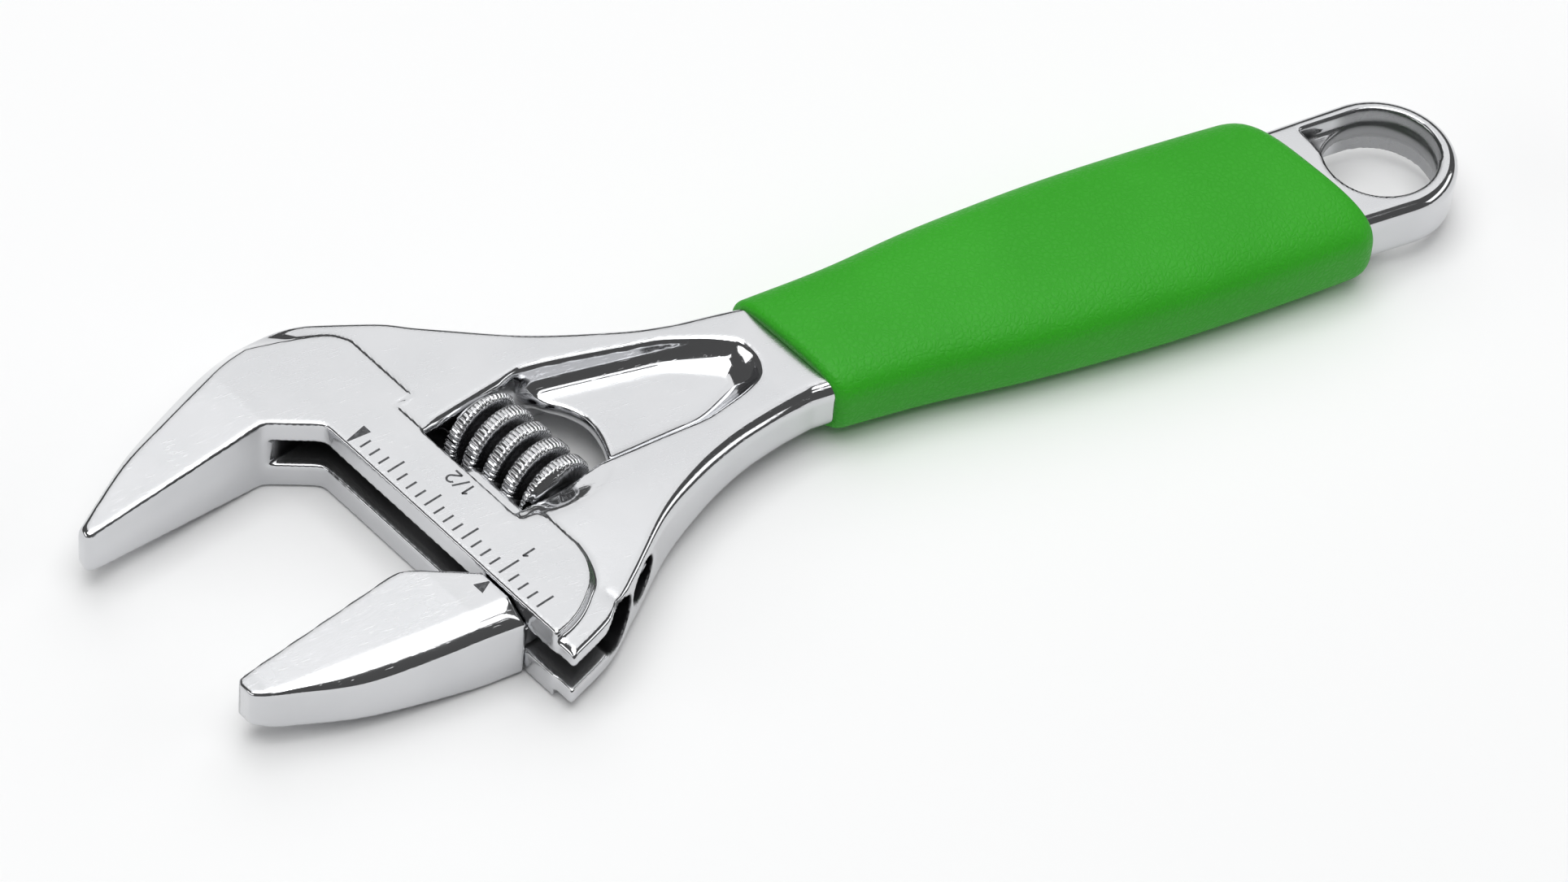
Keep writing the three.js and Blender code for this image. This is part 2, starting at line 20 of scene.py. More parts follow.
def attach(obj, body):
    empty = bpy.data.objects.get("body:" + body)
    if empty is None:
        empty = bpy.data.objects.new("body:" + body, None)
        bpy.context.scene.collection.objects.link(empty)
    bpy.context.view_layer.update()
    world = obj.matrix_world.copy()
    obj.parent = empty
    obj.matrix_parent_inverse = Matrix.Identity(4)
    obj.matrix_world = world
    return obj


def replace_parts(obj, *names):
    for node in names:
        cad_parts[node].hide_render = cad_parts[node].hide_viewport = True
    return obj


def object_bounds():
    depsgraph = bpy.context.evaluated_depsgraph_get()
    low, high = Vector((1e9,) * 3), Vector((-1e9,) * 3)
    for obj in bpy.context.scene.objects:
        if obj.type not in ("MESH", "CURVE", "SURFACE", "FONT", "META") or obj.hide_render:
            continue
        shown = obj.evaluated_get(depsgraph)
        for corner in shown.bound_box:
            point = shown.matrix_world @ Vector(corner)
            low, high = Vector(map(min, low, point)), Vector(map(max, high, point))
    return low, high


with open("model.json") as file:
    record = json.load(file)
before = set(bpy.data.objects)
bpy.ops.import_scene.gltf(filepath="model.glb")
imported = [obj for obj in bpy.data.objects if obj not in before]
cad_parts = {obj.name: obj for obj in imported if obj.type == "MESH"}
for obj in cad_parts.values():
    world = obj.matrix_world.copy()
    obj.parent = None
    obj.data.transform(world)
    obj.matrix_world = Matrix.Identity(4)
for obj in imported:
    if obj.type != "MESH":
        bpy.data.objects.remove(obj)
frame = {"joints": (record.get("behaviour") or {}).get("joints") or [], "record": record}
CAD_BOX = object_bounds()

LOG = logging.getLogger("wrench")
MM = 0.001
PAINTED_SHADE = "painted_shade"  # painted shade: the attribute that darkens slots, bores and thread valleys

Array = np.ndarray
Point = tuple[float, float]


# ---- Shader building ----------------------------------------------------------------------------


class Sock:
    """A node's output socket, with arithmetic that adds Math nodes."""

    def __init__(self, tree: "Tree", socket: Any) -> None:
        """Wraps a socket of a node in a tree."""
        self.tree = tree
        self.socket = socket

    def _math(self, operation: str, *values: Any) -> "Sock":
        """Adds one Math node.

        Args:
            operation: The Math node's operation.
            values: Its inputs, as numbers or sockets.

        Returns:
            The node's result.
        """
        return self.tree.node("ShaderNodeMath", {"operation": operation}, dict(enumerate(values)))

    def __add__(self, other: Any) -> "Sock":
        """Sum."""
        return self._math("ADD", self, other)

    __radd__ = __add__

    def __sub__(self, other: Any) -> "Sock":
        """Difference."""
        return self._math("SUBTRACT", self, other)

    def __rsub__(self, other: Any) -> "Sock":
        """Reflected difference."""
        return self._math("SUBTRACT", other, self)

    def __mul__(self, other: Any) -> "Sock":
        """Product."""
        return self._math("MULTIPLY", self, other)

    __rmul__ = __mul__

    def magnitude(self) -> "Sock":
        """Absolute value."""
        return self._math("ABSOLUTE", self)

    def ramp(self, low: float, high: float, first: float = 0.0, last: float = 1.0) -> "Sock":
        """Maps low..high smoothly onto first..last.

        Args:
            low: The input that gives first.
            high: The input that gives last.
            first: The result at low and below.
            last: The result at high and above.

        Returns:
            The mapped value.
        """
        values = {"Value": self, "From Min": low, "From Max": high, "To Min": first, "To Max": last}
        return self.tree.node("ShaderNodeMapRange", {"interpolation_type": "SMOOTHSTEP"}, values)


class Tree:
    """A material's node tree with one way to add nodes."""

    def __init__(self, name: str) -> None:
        """Makes an empty material of that name.

        Args:
            name: The material's name.
        """
        self.material = bpy.data.materials.new(name)
        self.material.use_nodes = True
        self.nodes = self.material.node_tree.nodes
        self.links = self.material.node_tree.links
        self.nodes.clear()

    def node(self, kind: str, settings: dict[str, Any], inputs: dict[Any, Any], output: Any = 0) -> Sock:
        """Adds a node.

        Args:
            kind: The node's type.
            settings: Attributes to set first.
            inputs: Values or links, by socket name or number.
            output: The name or number of the output that is wanted.

        Returns:
            That output.
        """
        made = self.nodes.new(kind)
        for name, value in settings.items():
            setattr(made, name, value)
        for key, value in inputs.items():
            if isinstance(value, Sock):
                self.links.new(value.socket, made.inputs[key])
            else:
                made.inputs[key].default_value = value
        return Sock(self, made.outputs[output])

    def place(self, scale: tuple[float, float, float] = (1.0, 1.0, 1.0)) -> Sock:
        """Object coordinates in millimetres, stretched by a scale.

        Args:
            scale: How much each axis is stretched.

        Returns:
            The coordinates.
        """
        coordinates = self.node("ShaderNodeTexCoord", {}, {}, "Object")
        factors = tuple(value / MM for value in scale)
        return self.node("ShaderNodeVectorMath", {"operation": "MULTIPLY"}, {0: coordinates, 1: factors})

    def noise(self, where: Sock, scale: float, detail: float = 2.0, rough: float = 0.5) -> Sock:
        """Noise between 0 and 1 at a number of cells to the millimetre."""
        inputs = {"Vector": where, "Scale": scale, "Detail": detail, "Roughness": rough}
        return self.node("ShaderNodeTexNoise", {}, inputs, "Fac")

    def blend(self, factor: Sock, first: Sequence[float], second: Sequence[float]) -> Sock:
        """A colour between two colours.

        Args:
            factor: Share of the second colour.
            first: Colour at 0.
            second: Colour at 1.

        Returns:
            The colour.
        """
        settings = {"data_type": "RGBA"}
        inputs = {0: factor, 6: (*first, 1.0), 7: (*second, 1.0)}
        return self.node("ShaderNodeMix", settings, inputs, 2)

    def bump(self, height: Sock, strength: float, distance: float) -> Sock:
        """A normal from a height, with the distance in millimetres."""
        inputs = {"Strength": strength, "Distance": distance * MM, "Height": height}
        return self.node("ShaderNodeBump", {}, inputs, "Normal")

    def finish(self, **inputs: Any) -> bpy.types.Material:
        """Ends the tree in a Principled shader.

        Args:
            inputs: Its sockets' values or links, with spaces in the names as underscores.

        Returns:
            The finished material.
        """
        named = {name.replace("_", " "): value for name, value in inputs.items()}
        shader = self.node("ShaderNodeBsdfPrincipled", {}, named)
        self.node_end(shader)
        return self.material

    def node_end(self, shader: Sock) -> None:
        """Links a shader to the material's output."""
        output = self.nodes.new("ShaderNodeOutputMaterial")
        self.links.new(shader.socket, output.inputs["Surface"])


@dataclass(frozen=True)
class Chrome:
    """Chrome plate: satin on the ground flats, polished elsewhere."""

    name: str
    tone: tuple[float, float, float] = (0.64, 0.645, 0.66)
    shade: tuple[float, float, float] = (0.54, 0.55, 0.565)
    # colour of the painted shade in slots, bores, pockets and thread valleys
    painted_dark: tuple[float, float, float] = (0.03, 0.03, 0.032)
    flat_roughness: float = 0.24
    polish_roughness: float = 0.07
    ripple: float = 0.05

    def make(self) -> bpy.types.Material:
        """The material, with wear, a fine ripple and satin flats.

        Returns:
            The material.
        """
        tree = Tree(self.name)
        where = tree.place()
        true_normal = tree.node("ShaderNodeNewGeometry", {}, {}, "True Normal")
        up = tree.node("ShaderNodeSeparateXYZ", {}, {0: true_normal}, 2)
        flat = up.magnitude().ramp(0.975, 0.998)
        # painted shade: this attribute blends the metal towards the dark colour and roughens it in recesses
        painted_shade = tree.node("ShaderNodeAttribute", {"attribute_name": PAINTED_SHADE}, {}, "Fac")
        cloud = tree.noise(where, 0.11, 3.0)
        grain = tree.noise(where, 6.0, 3.0, 0.6)
        scratch = tree.noise(tree.place((0.35, 5.0, 5.0)), 1.0, 2.0)
        wear = scratch.ramp(0.62, 0.72)
        roughness = (
            self.polish_roughness
            + flat * (self.flat_roughness - self.polish_roughness)
            + cloud.ramp(0.35, 0.7, 0.0, 0.035)
            + wear * 0.03
            + painted_shade * 0.4
        )
        metal = tree.blend(cloud.ramp(0.3, 0.75) * 0.35 + grain * 0.12, self.tone, self.shade)
        painted_dark_colour = (*self.painted_dark, 1.0)
        colour = tree.node("ShaderNodeMix", {"data_type": "RGBA"}, {0: painted_shade, 6: metal, 7: painted_dark_colour}, 2)
        height = grain * flat * 0.5 + cloud * 2.0 + wear * 0.15
        normal = tree.bump(height, 0.35, self.ripple)
        return tree.finish(Base_Color=colour, Metallic=1.0, Roughness=roughness, Normal=normal)


@dataclass(frozen=True)
class Steel:
    """Plain turned or drawn steel."""

    name: str
    tone: tuple[float, float, float]
    shade: tuple[float, float, float]
    roughness: float = 0.3

    def make(self) -> bpy.types.Material:
        """The material, with fine turning lines and stains.

        Returns:
            The material.
        """
        tree = Tree(self.name)
        stain = tree.noise(tree.place(), 0.8, 4.0)
        lines = tree.noise(tree.place((0.4, 9.0, 0.4)), 1.0, 2.0)
        colour = tree.blend(stain.ramp(0.35, 0.7), self.tone, self.shade)
        rough = stain.ramp(0.3, 0.8, self.roughness, self.roughness + 0.15)
        normal = tree.bump(lines, 0.3, 0.03)
        return tree.finish(Base_Color=colour, Metallic=1.0, Roughness=rough, Normal=normal)


@dataclass(frozen=True)
class StampedMark:
    """The dull floor of a stamped mark."""

    name: str
    tone: tuple[float, float, float] = (0.055, 0.056, 0.06)
    shade: tuple[float, float, float] = (0.17, 0.175, 0.18)

    def make(self) -> bpy.types.Material:
        """The material, with a broken dark stain.

        Returns:
            The material.
        """
        tree = Tree(self.name)
        stain = tree.noise(tree.place(), 2.2, 4.0, 0.6)
        colour = tree.blend(stain.ramp(0.4, 0.75), self.tone, self.shade)
        normal = tree.bump(stain, 0.4, 0.03)
        rough = stain.ramp(0.3, 0.7, 0.38, 0.6)
        return tree.finish(Base_Color=colour, Metallic=0.6, Roughness=rough, Normal=normal)


@dataclass(frozen=True)
class DippedGrip:
    """Soft plastic with a fine leather-like grain."""

    name: str
    tone: tuple[float, float, float] = (0.031, 0.385, 0.012)
    shade: tuple[float, float, float] = (0.024, 0.335, 0.008)
    grain_size: float = 1.35
    grain_depth: float = 0.10

    def make(self) -> bpy.types.Material:
        """The material, with grain, faint mottling and uneven sheen.

        Returns:
            The material.
        """
        tree = Tree(self.name)
        where = tree.place()
        drift = tree.noise(where, 0.8, 2.0)
        warp = tree.node("ShaderNodeVectorMath", {"operation": "ADD"}, {0: where, 1: drift})
        cell_inputs = {"Vector": warp, "Scale": self.grain_size}
        cells = tree.node("ShaderNodeTexVoronoi", {"feature": "DISTANCE_TO_EDGE"}, cell_inputs, "Distance")
        pebble = cells.ramp(0.0, 0.28)
        fine = tree.noise(where, 3.6, 4.0, 0.65)
        mottle = tree.noise(where, 0.06, 3.0)
        colour = tree.blend(mottle.ramp(0.3, 0.7) * 0.5 + (1 - pebble) * 0.3, self.tone, self.shade)
        height = pebble * 0.55 + fine * 0.6
        rough = 0.40 + mottle.ramp(0.3, 0.7) * 0.05 + (1 - pebble) * 0.08
        normal = tree.bump(height, 0.5, self.grain_depth)
        return tree.finish(Base_Color=colour, Roughness=rough, Normal=normal, Specular_IOR_Level=0.27)


@dataclass(frozen=True)
class StudioFloor:
    """A pale, matt sweep."""

    name: str
    tone: tuple[float, float, float] = (0.965, 0.968, 0.97)
    shade: tuple[float, float, float] = (0.94, 0.943, 0.945)

    def make(self) -> bpy.types.Material:
        """The material, with the faintest cloud of tone.

        Returns:
            The material.
        """
        tree = Tree(self.name)
        cloud = tree.noise(tree.place(), 0.004, 2.0)
        colour = tree.blend(cloud, self.tone, self.shade)
        return tree.finish(Base_Color=colour, Roughness=0.85, Specular_IOR_Level=0.1)


# ---- Places -------------------------------------------------------------------------------------


class Datum(Enum):
    """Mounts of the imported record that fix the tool's two frames."""

    FIXED_FACE = "fixed_jaw_face"
    EYE_RIM = "eye_rim"


@dataclass
class Layout:
    """Where the handle's and the head's frames lie in the row frame, in millimetres."""

    fixed_face: float = 8.0
    face_mount_a: float = -17.0
    eye_x: float = 127.6
    eye_mount: float = 8.15
    angle: float = field(init=False)
    shift: Array = field(init=False)
    head_origin: Array = field(init=False)

    def __post_init__(self) -> None:
        """Reads the joint's axis and the mounts."""
        slide = next(joint for joint in frame["joints"] if joint["type"] == "slide")
        along = slide["axis"]
        self.angle = math.atan2(along[0], -along[1])
        middle = (CAD_BOX[0][2] + CAD_BOX[1][2]) / 2 / MM
        rim = self.mount(Datum.EYE_RIM)
        self.shift = np.array([rim[0] - self.eye_x - self.eye_mount, rim[1], middle])
        face = self.mount(Datum.FIXED_FACE)
        cos, sin = math.cos(self.angle), math.sin(self.angle)
        a, b = self.face_mount_a, self.fixed_face
        local = np.array([face[0] - self.shift[0], face[1] - self.shift[1]])
        self.head_origin = local - np.array([a * cos - b * sin, a * sin + b * cos])

    def mount(self, datum: Datum) -> Array:
        """A mount's place in millimetres."""
        mounts = {row["name"]: row["pos_m"] for row in frame["record"]["mounts"]}
        return np.array(mounts[datum.value]) / MM

    def head_to_handle(self, a: Any, b: Any) -> tuple[Any, Any]:
        """A place of the head's frame in the handle's frame."""
        cos, sin = math.cos(self.angle), math.sin(self.angle)
        return self.head_origin[0] + a * cos - b * sin, self.head_origin[1] + a * sin + b * cos

    def handle_to_head(self, x: Any, y: Any) -> tuple[Any, Any]:
        """A place of the handle's frame in the head's frame.

        Args:
            x: Place along the handle.
            y: Place across the handle.

        Returns:
            The place as a and b.
        """
        cos, sin = math.cos(self.angle), math.sin(self.angle)
        dx, dy = x - self.head_origin[0], y - self.head_origin[1]
        return dx * cos + dy * sin, dy * cos - dx * sin

    def row_from_handle(self, points: Array) -> Array:
        """Points of the handle's frame, in metres of the row frame."""
        return (points + self.shift) * MM

    def row_from_head(self, points: Array) -> Array:
        """Points of the head's frame, in metres of the row frame."""
        x, y = self.head_to_handle(points[:, 0], points[:, 1])
        return self.row_from_handle(np.stack([x, y, points[:, 2]], axis=1))


# ---- Solid fields -------------------------------------------------------------------------------


def both(first: Array, second: Array, radius: Any = 0.0) -> Array:
    """The overlap of two solids, with its new edge rounded.

    Args:
        first: Signed distances to one solid, negative inside.
        second: Signed distances to the other.
        radius: The rounding of the edge between them.

    Returns:
        Signed distances to the overlap.
    """
    sharp = np.maximum(first, second)
    reach = np.hypot(np.maximum(first + radius, 0), np.maximum(second + radius, 0))
    return np.where(sharp > -radius, np.minimum(np.maximum(sharp, -radius), -radius) + reach, sharp)


def join(first: Array, second: Array, radius: Any = 0.0) -> Array:
    """Two solids together, with a fillet of a radius where they meet."""
    return -both(-first, -second, radius)


def cut(solid: Array, tool: Array, radius: Any = 0.0) -> Array:
    """A solid less a tool, with the new edge rounded."""
    return both(solid, -tool, radius)


def ease(value: Any, first: float, last: float) -> Any:
    """A smooth step from 0 at first to 1 at last."""
    t = np.clip((value - first) / (last - first), 0, 1)
    return t * t * (3 - 2 * t)


def curve(points: Sequence[Point], steps: int = 8) -> list[Point]:
    """A smooth curve through points.

    Args:
        points: The places it passes.
        steps: How many pieces lie between two of them.

    Returns:
        Places along the curve, ends included.
    """
    known = np.array(points, float)
    ends = np.vstack([2 * known[0] - known[1], known, 2 * known[-1] - known[-2]])
    made = []
    for before, start, stop, after in zip(ends, ends[1:], ends[2:], ends[3:]):
        for t in np.linspace(0, 1, steps, endpoint=False):
            pull = (2 * start + (stop - before) * t + (2 * before - 5 * start + 4 * stop - after) * t**2
                    + (3 * start - before - 3 * stop + after) * t**3)
            made.append(tuple(pull / 2))
    return [*made, tuple(known[-1])]


def plan_distance(outline: Sequence[Point], x: Array, y: Array) -> Array:
    """Signed distance from places of a plane to a closed outline.

    Args:
        outline: The corners in order.
        x: First coordinates of the places.
        y: Second coordinates, of a shape that broadcasts with x.

    Returns:
        Distances, negative inside.
    """
    x, y = np.broadcast_arrays(x, y)
    nearest = np.full(x.shape, 1e9)
    inside = np.zeros(x.shape, bool)
    corners = np.array(outline, float)
    for (x0, y0), (x1, y1) in zip(corners, np.roll(corners, -1, axis=0)):
        ex, ey = x1 - x0, y1 - y0
        length = ex * ex + ey * ey
        if length < 1e-12:
            continue
        t = np.clip(((x - x0) * ex + (y - y0) * ey) / length, 0, 1)
        nearest = np.minimum(nearest, (x - x0 - t * ex) ** 2 + (y - y0 - t * ey) ** 2)
        if y0 != y1:
            crosses = ((y0 > y) != (y1 > y)) & (x < (x1 - x0) * (y - y0) / (y1 - y0) + x0)
            inside ^= crosses
    distance = np.sqrt(nearest)
    return np.where(inside, -distance, distance)


def rod(
    across: Any, z: Any, along: Any, radius: float, low: float, high: float, edge: float = 0.0
) -> Array:
    """A round bar.

    Args:
        across: Distance from its axis in the plane.
        z: Height from its axis.
        along: Place along it.
        radius: Its radius.
        low: Where it begins.
        high: Where it ends.
        edge: The rounding of its ends.

    Returns:
        Signed distances to it.
    """
    return both(np.hypot(across, z) - radius, np.maximum(low - along, along - high), edge)


@dataclass
class Lattice:
    """A block of evenly spaced places in millimetres."""

    low: tuple[float, float, float]
    high: tuple[float, float, float]
    step: float

    def axes(self) -> tuple[Array, Array, Array]:
        """Coordinates along each axis, shaped to broadcast together."""
        lines = [np.arange(a, b + self.step, self.step) for a, b in zip(self.low, self.high)]
        return lines[0][:, None, None], lines[1][None, :, None], lines[2][None, None, :]

    def skin(self, values: Array) -> tuple[Array, Array, Array]:
        """The surface where a field of values is zero.

        Args:
            values: Signed distances at the places.

        Returns:
            Vertices, their normals, and quads that face out.
        """
        values = np.ascontiguousarray(values, np.float32)
        inside = values < 0
        cells = tuple(n - 1 for n in values.shape)
        strides = np.array([cells[1] * cells[2], cells[2], 1])
        count = np.zeros(np.prod(cells))
        total = np.zeros((3, count.size))
        quads = []
        for axis in range(3):
            near = tuple(slice(0, -1) if i == axis else slice(None) for i in range(3))
            far = tuple(slice(1, None) if i == axis else slice(None) for i in range(3))
            edges = np.argwhere(inside[near] != inside[far])
            first = values[near][tuple(edges.T)]
            second = values[far][tuple(edges.T)]
            places = edges.astype(float)
            places[:, axis] += first / (first - second)
            one, two = [i for i in (1, 2, 0, 1)[axis:axis + 2]] if axis != 1 else [2, 0]
            corners = []
            for back_one, back_two in ((0, 0), (1, 0), (1, 1), (0, 1)):
                cell = edges.copy()
                cell[:, one] -= back_one
                cell[:, two] -= back_two
                flat = cell @ strides
                corners.append(flat)
                count += np.bincount(flat, minlength=count.size)
                for i in range(3):
                    total[i] += np.bincount(flat, weights=places[:, i], minlength=count.size)
            face = np.stack(corners, axis=1)
            face[first > 0] = face[first > 0][:, ::-1]
            quads.append(face)
        used = np.flatnonzero(count)
        number = np.zeros(count.size, np.int64)
        number[used] = np.arange(used.size)
        grid = (total[:, used] / count[used]).T
        faces = number[np.vstack(quads)]
        slopes = [np.ascontiguousarray(slope) for slope in np.gradient(values)]
        for _ in range(3):
            value = self.sample(values, grid)
            slope = np.stack([self.sample(part, grid) for part in slopes], axis=1)
            step = (value / np.maximum((slope**2).sum(axis=1), 1e-4))[:, None] * slope
            grid = grid - np.clip(step, -0.4, 0.4)
        slope = np.stack([self.sample(part, grid) for part in slopes], axis=1)
        normals = slope / np.maximum(np.linalg.norm(slope, axis=1, keepdims=True), 1e-9)
        return np.array(self.low) + grid * self.step, normals, faces

    @staticmethod
    def sample(values: Array, grid: Array) -> Array:
        """Values between the places, at positions counted in steps.

        Args:
            values: The field.
            grid: Positions, one row each.

        Returns:
            One value for each position.
        """
        most = np.array(values.shape) - 2
        base = np.clip(np.floor(grid).astype(int), 0, most)
        part = grid - base
        result = np.zeros(len(grid))
        for corner in np.ndindex(2, 2, 2):
            weight = np.prod([part[:, i] if corner[i] else 1 - part[:, i] for i in range(3)], axis=0)
            result += weight * values[base[:, 0] + corner[0], base[:, 1] + corner[1], base[:, 2] + corner[2]]
        return result


def mesh_object(name: str, points: Array, faces: Array, normals: Array | None = None) -> bpy.types.Object:
    """A smooth-shaded object of quads.

    Args:
        name: The piece's name.
        points: Vertices in metres of the row frame.
        faces: Four vertex numbers to a row.
        normals: A normal for each vertex, where the surface has its own.

    Returns:
        The object, linked to the scene.
    """
    mesh = bpy.data.meshes.new(name)
    mesh.vertices.add(len(points))
    mesh.vertices.foreach_set("co", np.ascontiguousarray(points, np.float32).ravel())
    mesh.loops.add(faces.size)
    mesh.loops.foreach_set("vertex_index", np.ascontiguousarray(faces, np.int32).ravel())
    mesh.polygons.add(len(faces))
    mesh.polygons.foreach_set("loop_start", np.arange(0, faces.size, faces.shape[1], dtype=np.int32))
    mesh.update(calc_edges=True)
    mesh.polygons.foreach_set("use_smooth", np.ones(len(faces), bool))
    if normals is not None:
        mesh.normals_split_custom_set_from_vertices(normals.tolist())
    made = bpy.data.objects.new(name, mesh)
    bpy.context.scene.collection.objects.link(made)
    return made


def paint_shade(piece: bpy.types.Object, amount: Array) -> None:
    """Stores how much painted shade each vertex of a piece gets, from 0 to 1."""
    layer = piece.data.attributes.new(PAINTED_SHADE, "FLOAT", "POINT")
    layer.data.foreach_set("value", np.ascontiguousarray(np.clip(amount, 0, 1), np.float32))


def wrapped(rings: Array, closed_along: bool) -> Array:
    """Quads between rings of points.

    Args:
        rings: An array of ring, place and coordinate.
        closed_along: Whether the last ring joins the first.

    Returns:
        Four vertex numbers to a row.
    """
    count, around = rings.shape[:2]
    i, j = np.meshgrid(np.arange(count if closed_along else count - 1), np.arange(around), indexing="ij")
    after, beside = (i + 1) % count, (j + 1) % around
    quads = [i * around + j, i * around + beside, after * around + beside, after * around + j]
    return np.stack(quads, axis=-1).reshape(-1, 4)


def dress(piece: bpy.types.Object, material: bpy.types.Material, body: str) -> bpy.types.Object:
    """Gives a piece its material and its body.

    Args:
        piece: The piece.
        material: Its material.
        body: The body that it moves with.
    """
    piece.data.materials.append(material)
    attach(piece, body)
    LOG.info("%s: %d faces on %s", piece.name, len(piece.data.polygons), body)
    return piece


# ---- The forging --------------------------------------------------------------------------------


@dataclass
class Screw:
    """The worm's thread, whose path along the slide is u = -b."""

    axis_a: float = 14.6
    radius: float = 5.6
    pitch: float = 3.175
    depth: float = 2.0
    start: float = 4.6
    length: float = 14.4
    phase: float = 5.335
    crest: float = 0.54
    flank: float = 0.13

    def from_crest(self, u: Any, turn: Any) -> Any:
        """Distance from the middle of the nearest crest, as a share of the pitch."""
        phase = (u - self.phase) / self.pitch - turn + self.crest / 2
        return np.abs(phase - np.round(phase))

    def thread_radius(self, u: Any, turn: Any, grow: float = 0.0) -> Any:
        """The thread's radius at a place along the worm and a share of a turn."""
        edge = self.crest / 2 + grow / self.pitch
        return self.radius + grow - self.depth * ease(self.from_crest(u, turn), edge, edge + self.flank)


@dataclass
class Forging:
    """Fixed jaw, scale plates, slide guide, handle and eye in one piece."""

    layout: Layout
    screw: Screw
    finish: Chrome
    step: float = 0.34
    plate_top: float = 4.7
    plate_bottom: float = 6.0
    plate_front: float = -0.9
    plate_back: float = 9.6
    plate_relief: float = 7.2
    jaw_tip: float = -31.2
    taper: float = math.radians(3.6)
    lower_taper: float = math.radians(6.5)
    taper_start: float = -6.0
    fixed_face: float = 8.0
    lower_corner: float = -39.2
    neck_half: float = 7.45
    neck_x: float = 48.0
    handle_half_height: float = 3.5
    shoulder_rise: float = 0.95
    corner_drop: float = 0.8
    eye_radius: float = 9.4
    eye_hole: float = 6.9
    eye_half_height: float = 3.3
    eye_deeper: float = 0.3
    eye_recess: float = 7.0
    web_half: float = 0.9
    bore_a: float = 8.0
    bore_radius: float = 3.3
    bore_end: float = 16.4
    slot_half: float = 2.0
    slot_end: float = 7.7
    slot_z: float = -0.4

    def at(self, places: Sequence[Point]) -> list[Point]:
        """Places of the head's frame, in the handle's frame."""
        return [self.layout.head_to_handle(a, b) for a, b in places]

    def throat(self) -> list[Point]:
        """The nut face and the throat, from the tip to the plate's front face.

        Returns:
            Places of the outline.
        """
        tip, face, front = self.jaw_tip, self.fixed_face, self.plate_front
        corner = curve([(-6.9, face), (-6.15, face - 0.12), (-5.5, face - 0.5)], 4)
        turn = curve([(-1.75, 4.3), (-1.1, 3.55), (front, 2.7)], 4)
        return self.at([(tip, face + 0.5), (tip + 0.5, face), *corner, *turn])

    def silhouette(self) -> list[Point]:
        """The outline of the whole forging.

        Returns:
            Places of the outline.
        """
        lower = [*self.at([(self.plate_front, self.lower_corner)]), (12.4, -28.7), (17.6, -24.1), (24.5, -17.9),
                 (31, -13.9), (37.2, -11.0), (43, -9.2), (self.neck_x, -self.neck_half - 0.7)]
        upper = [
            (self.neck_x, self.neck_half), (43, 8.0), (37, 8.5), (31, 9.8),
            (21, 13.2), (11, 18.5), (5.5, 21.6),
        ]
        crown = self.at([
            (1.5, 20.65), (-4.7, 20.3), (-12.2, 18.4), (-18.9, 15.9), (-24.5, 13.1), (-30.6, 10.3),
        ])
        eye_x = self.layout.eye_x
        turns = np.linspace(-math.pi / 2, math.pi / 2, 40)
        eye = [(eye_x + self.eye_radius * math.cos(t), self.eye_radius * math.sin(t)) for t in turns]
        tip = self.at([(self.jaw_tip, 9.7)])
        return [*curve(lower), *eye, *curve([*upper, *crown]), *tip, *self.throat()]

    def plate(self) -> list[Point]:
        """The outline of the raised scale plate and the fixed jaw's flat.

        Returns:
            Places of the outline.
        """
        lower = [(self.plate_front, -36.1), (1.7, -35.7), (4.3, -34.7), (7.3, -32.6), (9.0, -30.0),
                 (self.plate_back, -27.7)]
        relief = [
            (self.plate_back, -20.9), (self.plate_relief, -20.9),
            (self.plate_relief, 0.8), (self.plate_back, 0.8),
        ]
        upper = [(self.plate_back, 11.6), (7.9, 14.0), (2.9, 16.65), (-0.5, 18.0), (-3.6, 17.8), (-7.4, 17.0),
                 (-14.6, 15.35), (-21.8, 13.5), (-30.7, 9.6)]
        rise = curve(upper[:3], 4) + curve(upper[3:], 6)
        return self.at([*curve(lower), *relief, *rise]) + self.throat()

    def window(self) -> list[Point]:
        """The opening that the worm turns in.

        Returns:
            Places of the outline.
        """
        back = curve([(22.7, -7.0), (24.2, -9.4), (24.85, -12.2), (24.1, -15.6), (22.0, -19.6)])
        corner = curve([(19.6, -4.0), (20.7, -4.25), (21.8, -5.2), (22.7, -7.0)])
        return self.at([(self.plate_relief, -4.0), *corner, *back, (self.plate_relief, -19.6)])

    def recess(self) -> list[Point]:
        """The long pocket between the window and the grip."""
        side = curve([
            (15.0, 4.5), (17.2, 7.0), (20.5, 7.4), (31, 6.35), (37, 5.75),
            (41.3, 5.25), (44.2, 3.9), (45.3, 1.8), (45.6, 0),
        ])
        return [*side, *[(x, -y) for x, y in reversed(side[:-1])]]

    def eye_pocket(self) -> list[Point]:
        """The pocket round the far side of the eye's hole, with one square corner.

        Returns:
            Places of the outline.
        """
        eye_x = self.layout.eye_x
        reach = self.eye_hole + 0.35
        turns = np.linspace(-math.pi / 6, math.pi / 2, 24)
        arc = [(eye_x + reach * math.cos(t), reach * math.sin(t)) for t in turns]
        return [(eye_x, 0.0), *arc, (eye_x - self.eye_recess, reach), (eye_x - 6.4, 2.2)]

    def scoop(self, a: Array, b: Array, z: Array) -> Array:
        """The dished clearance for a thumb at the worm's lower end.

        Args:
            a: Places along the head's a.
            b: Places along the head's b.
            z: Heights.

        Returns:
            Signed distance to the tool that dishes it.
        """
        size = np.array([6.0, 2.9, 1.9])
        middle_z = np.where(z > 0, 5.4, -6.7)
        far = np.sqrt(((a - self.screw.axis_a) / size[0]) ** 2 + ((b + 19.5) / size[1]) ** 2
                      + ((z - middle_z) / size[2]) ** 2)
        return (far - 1) * size[2]

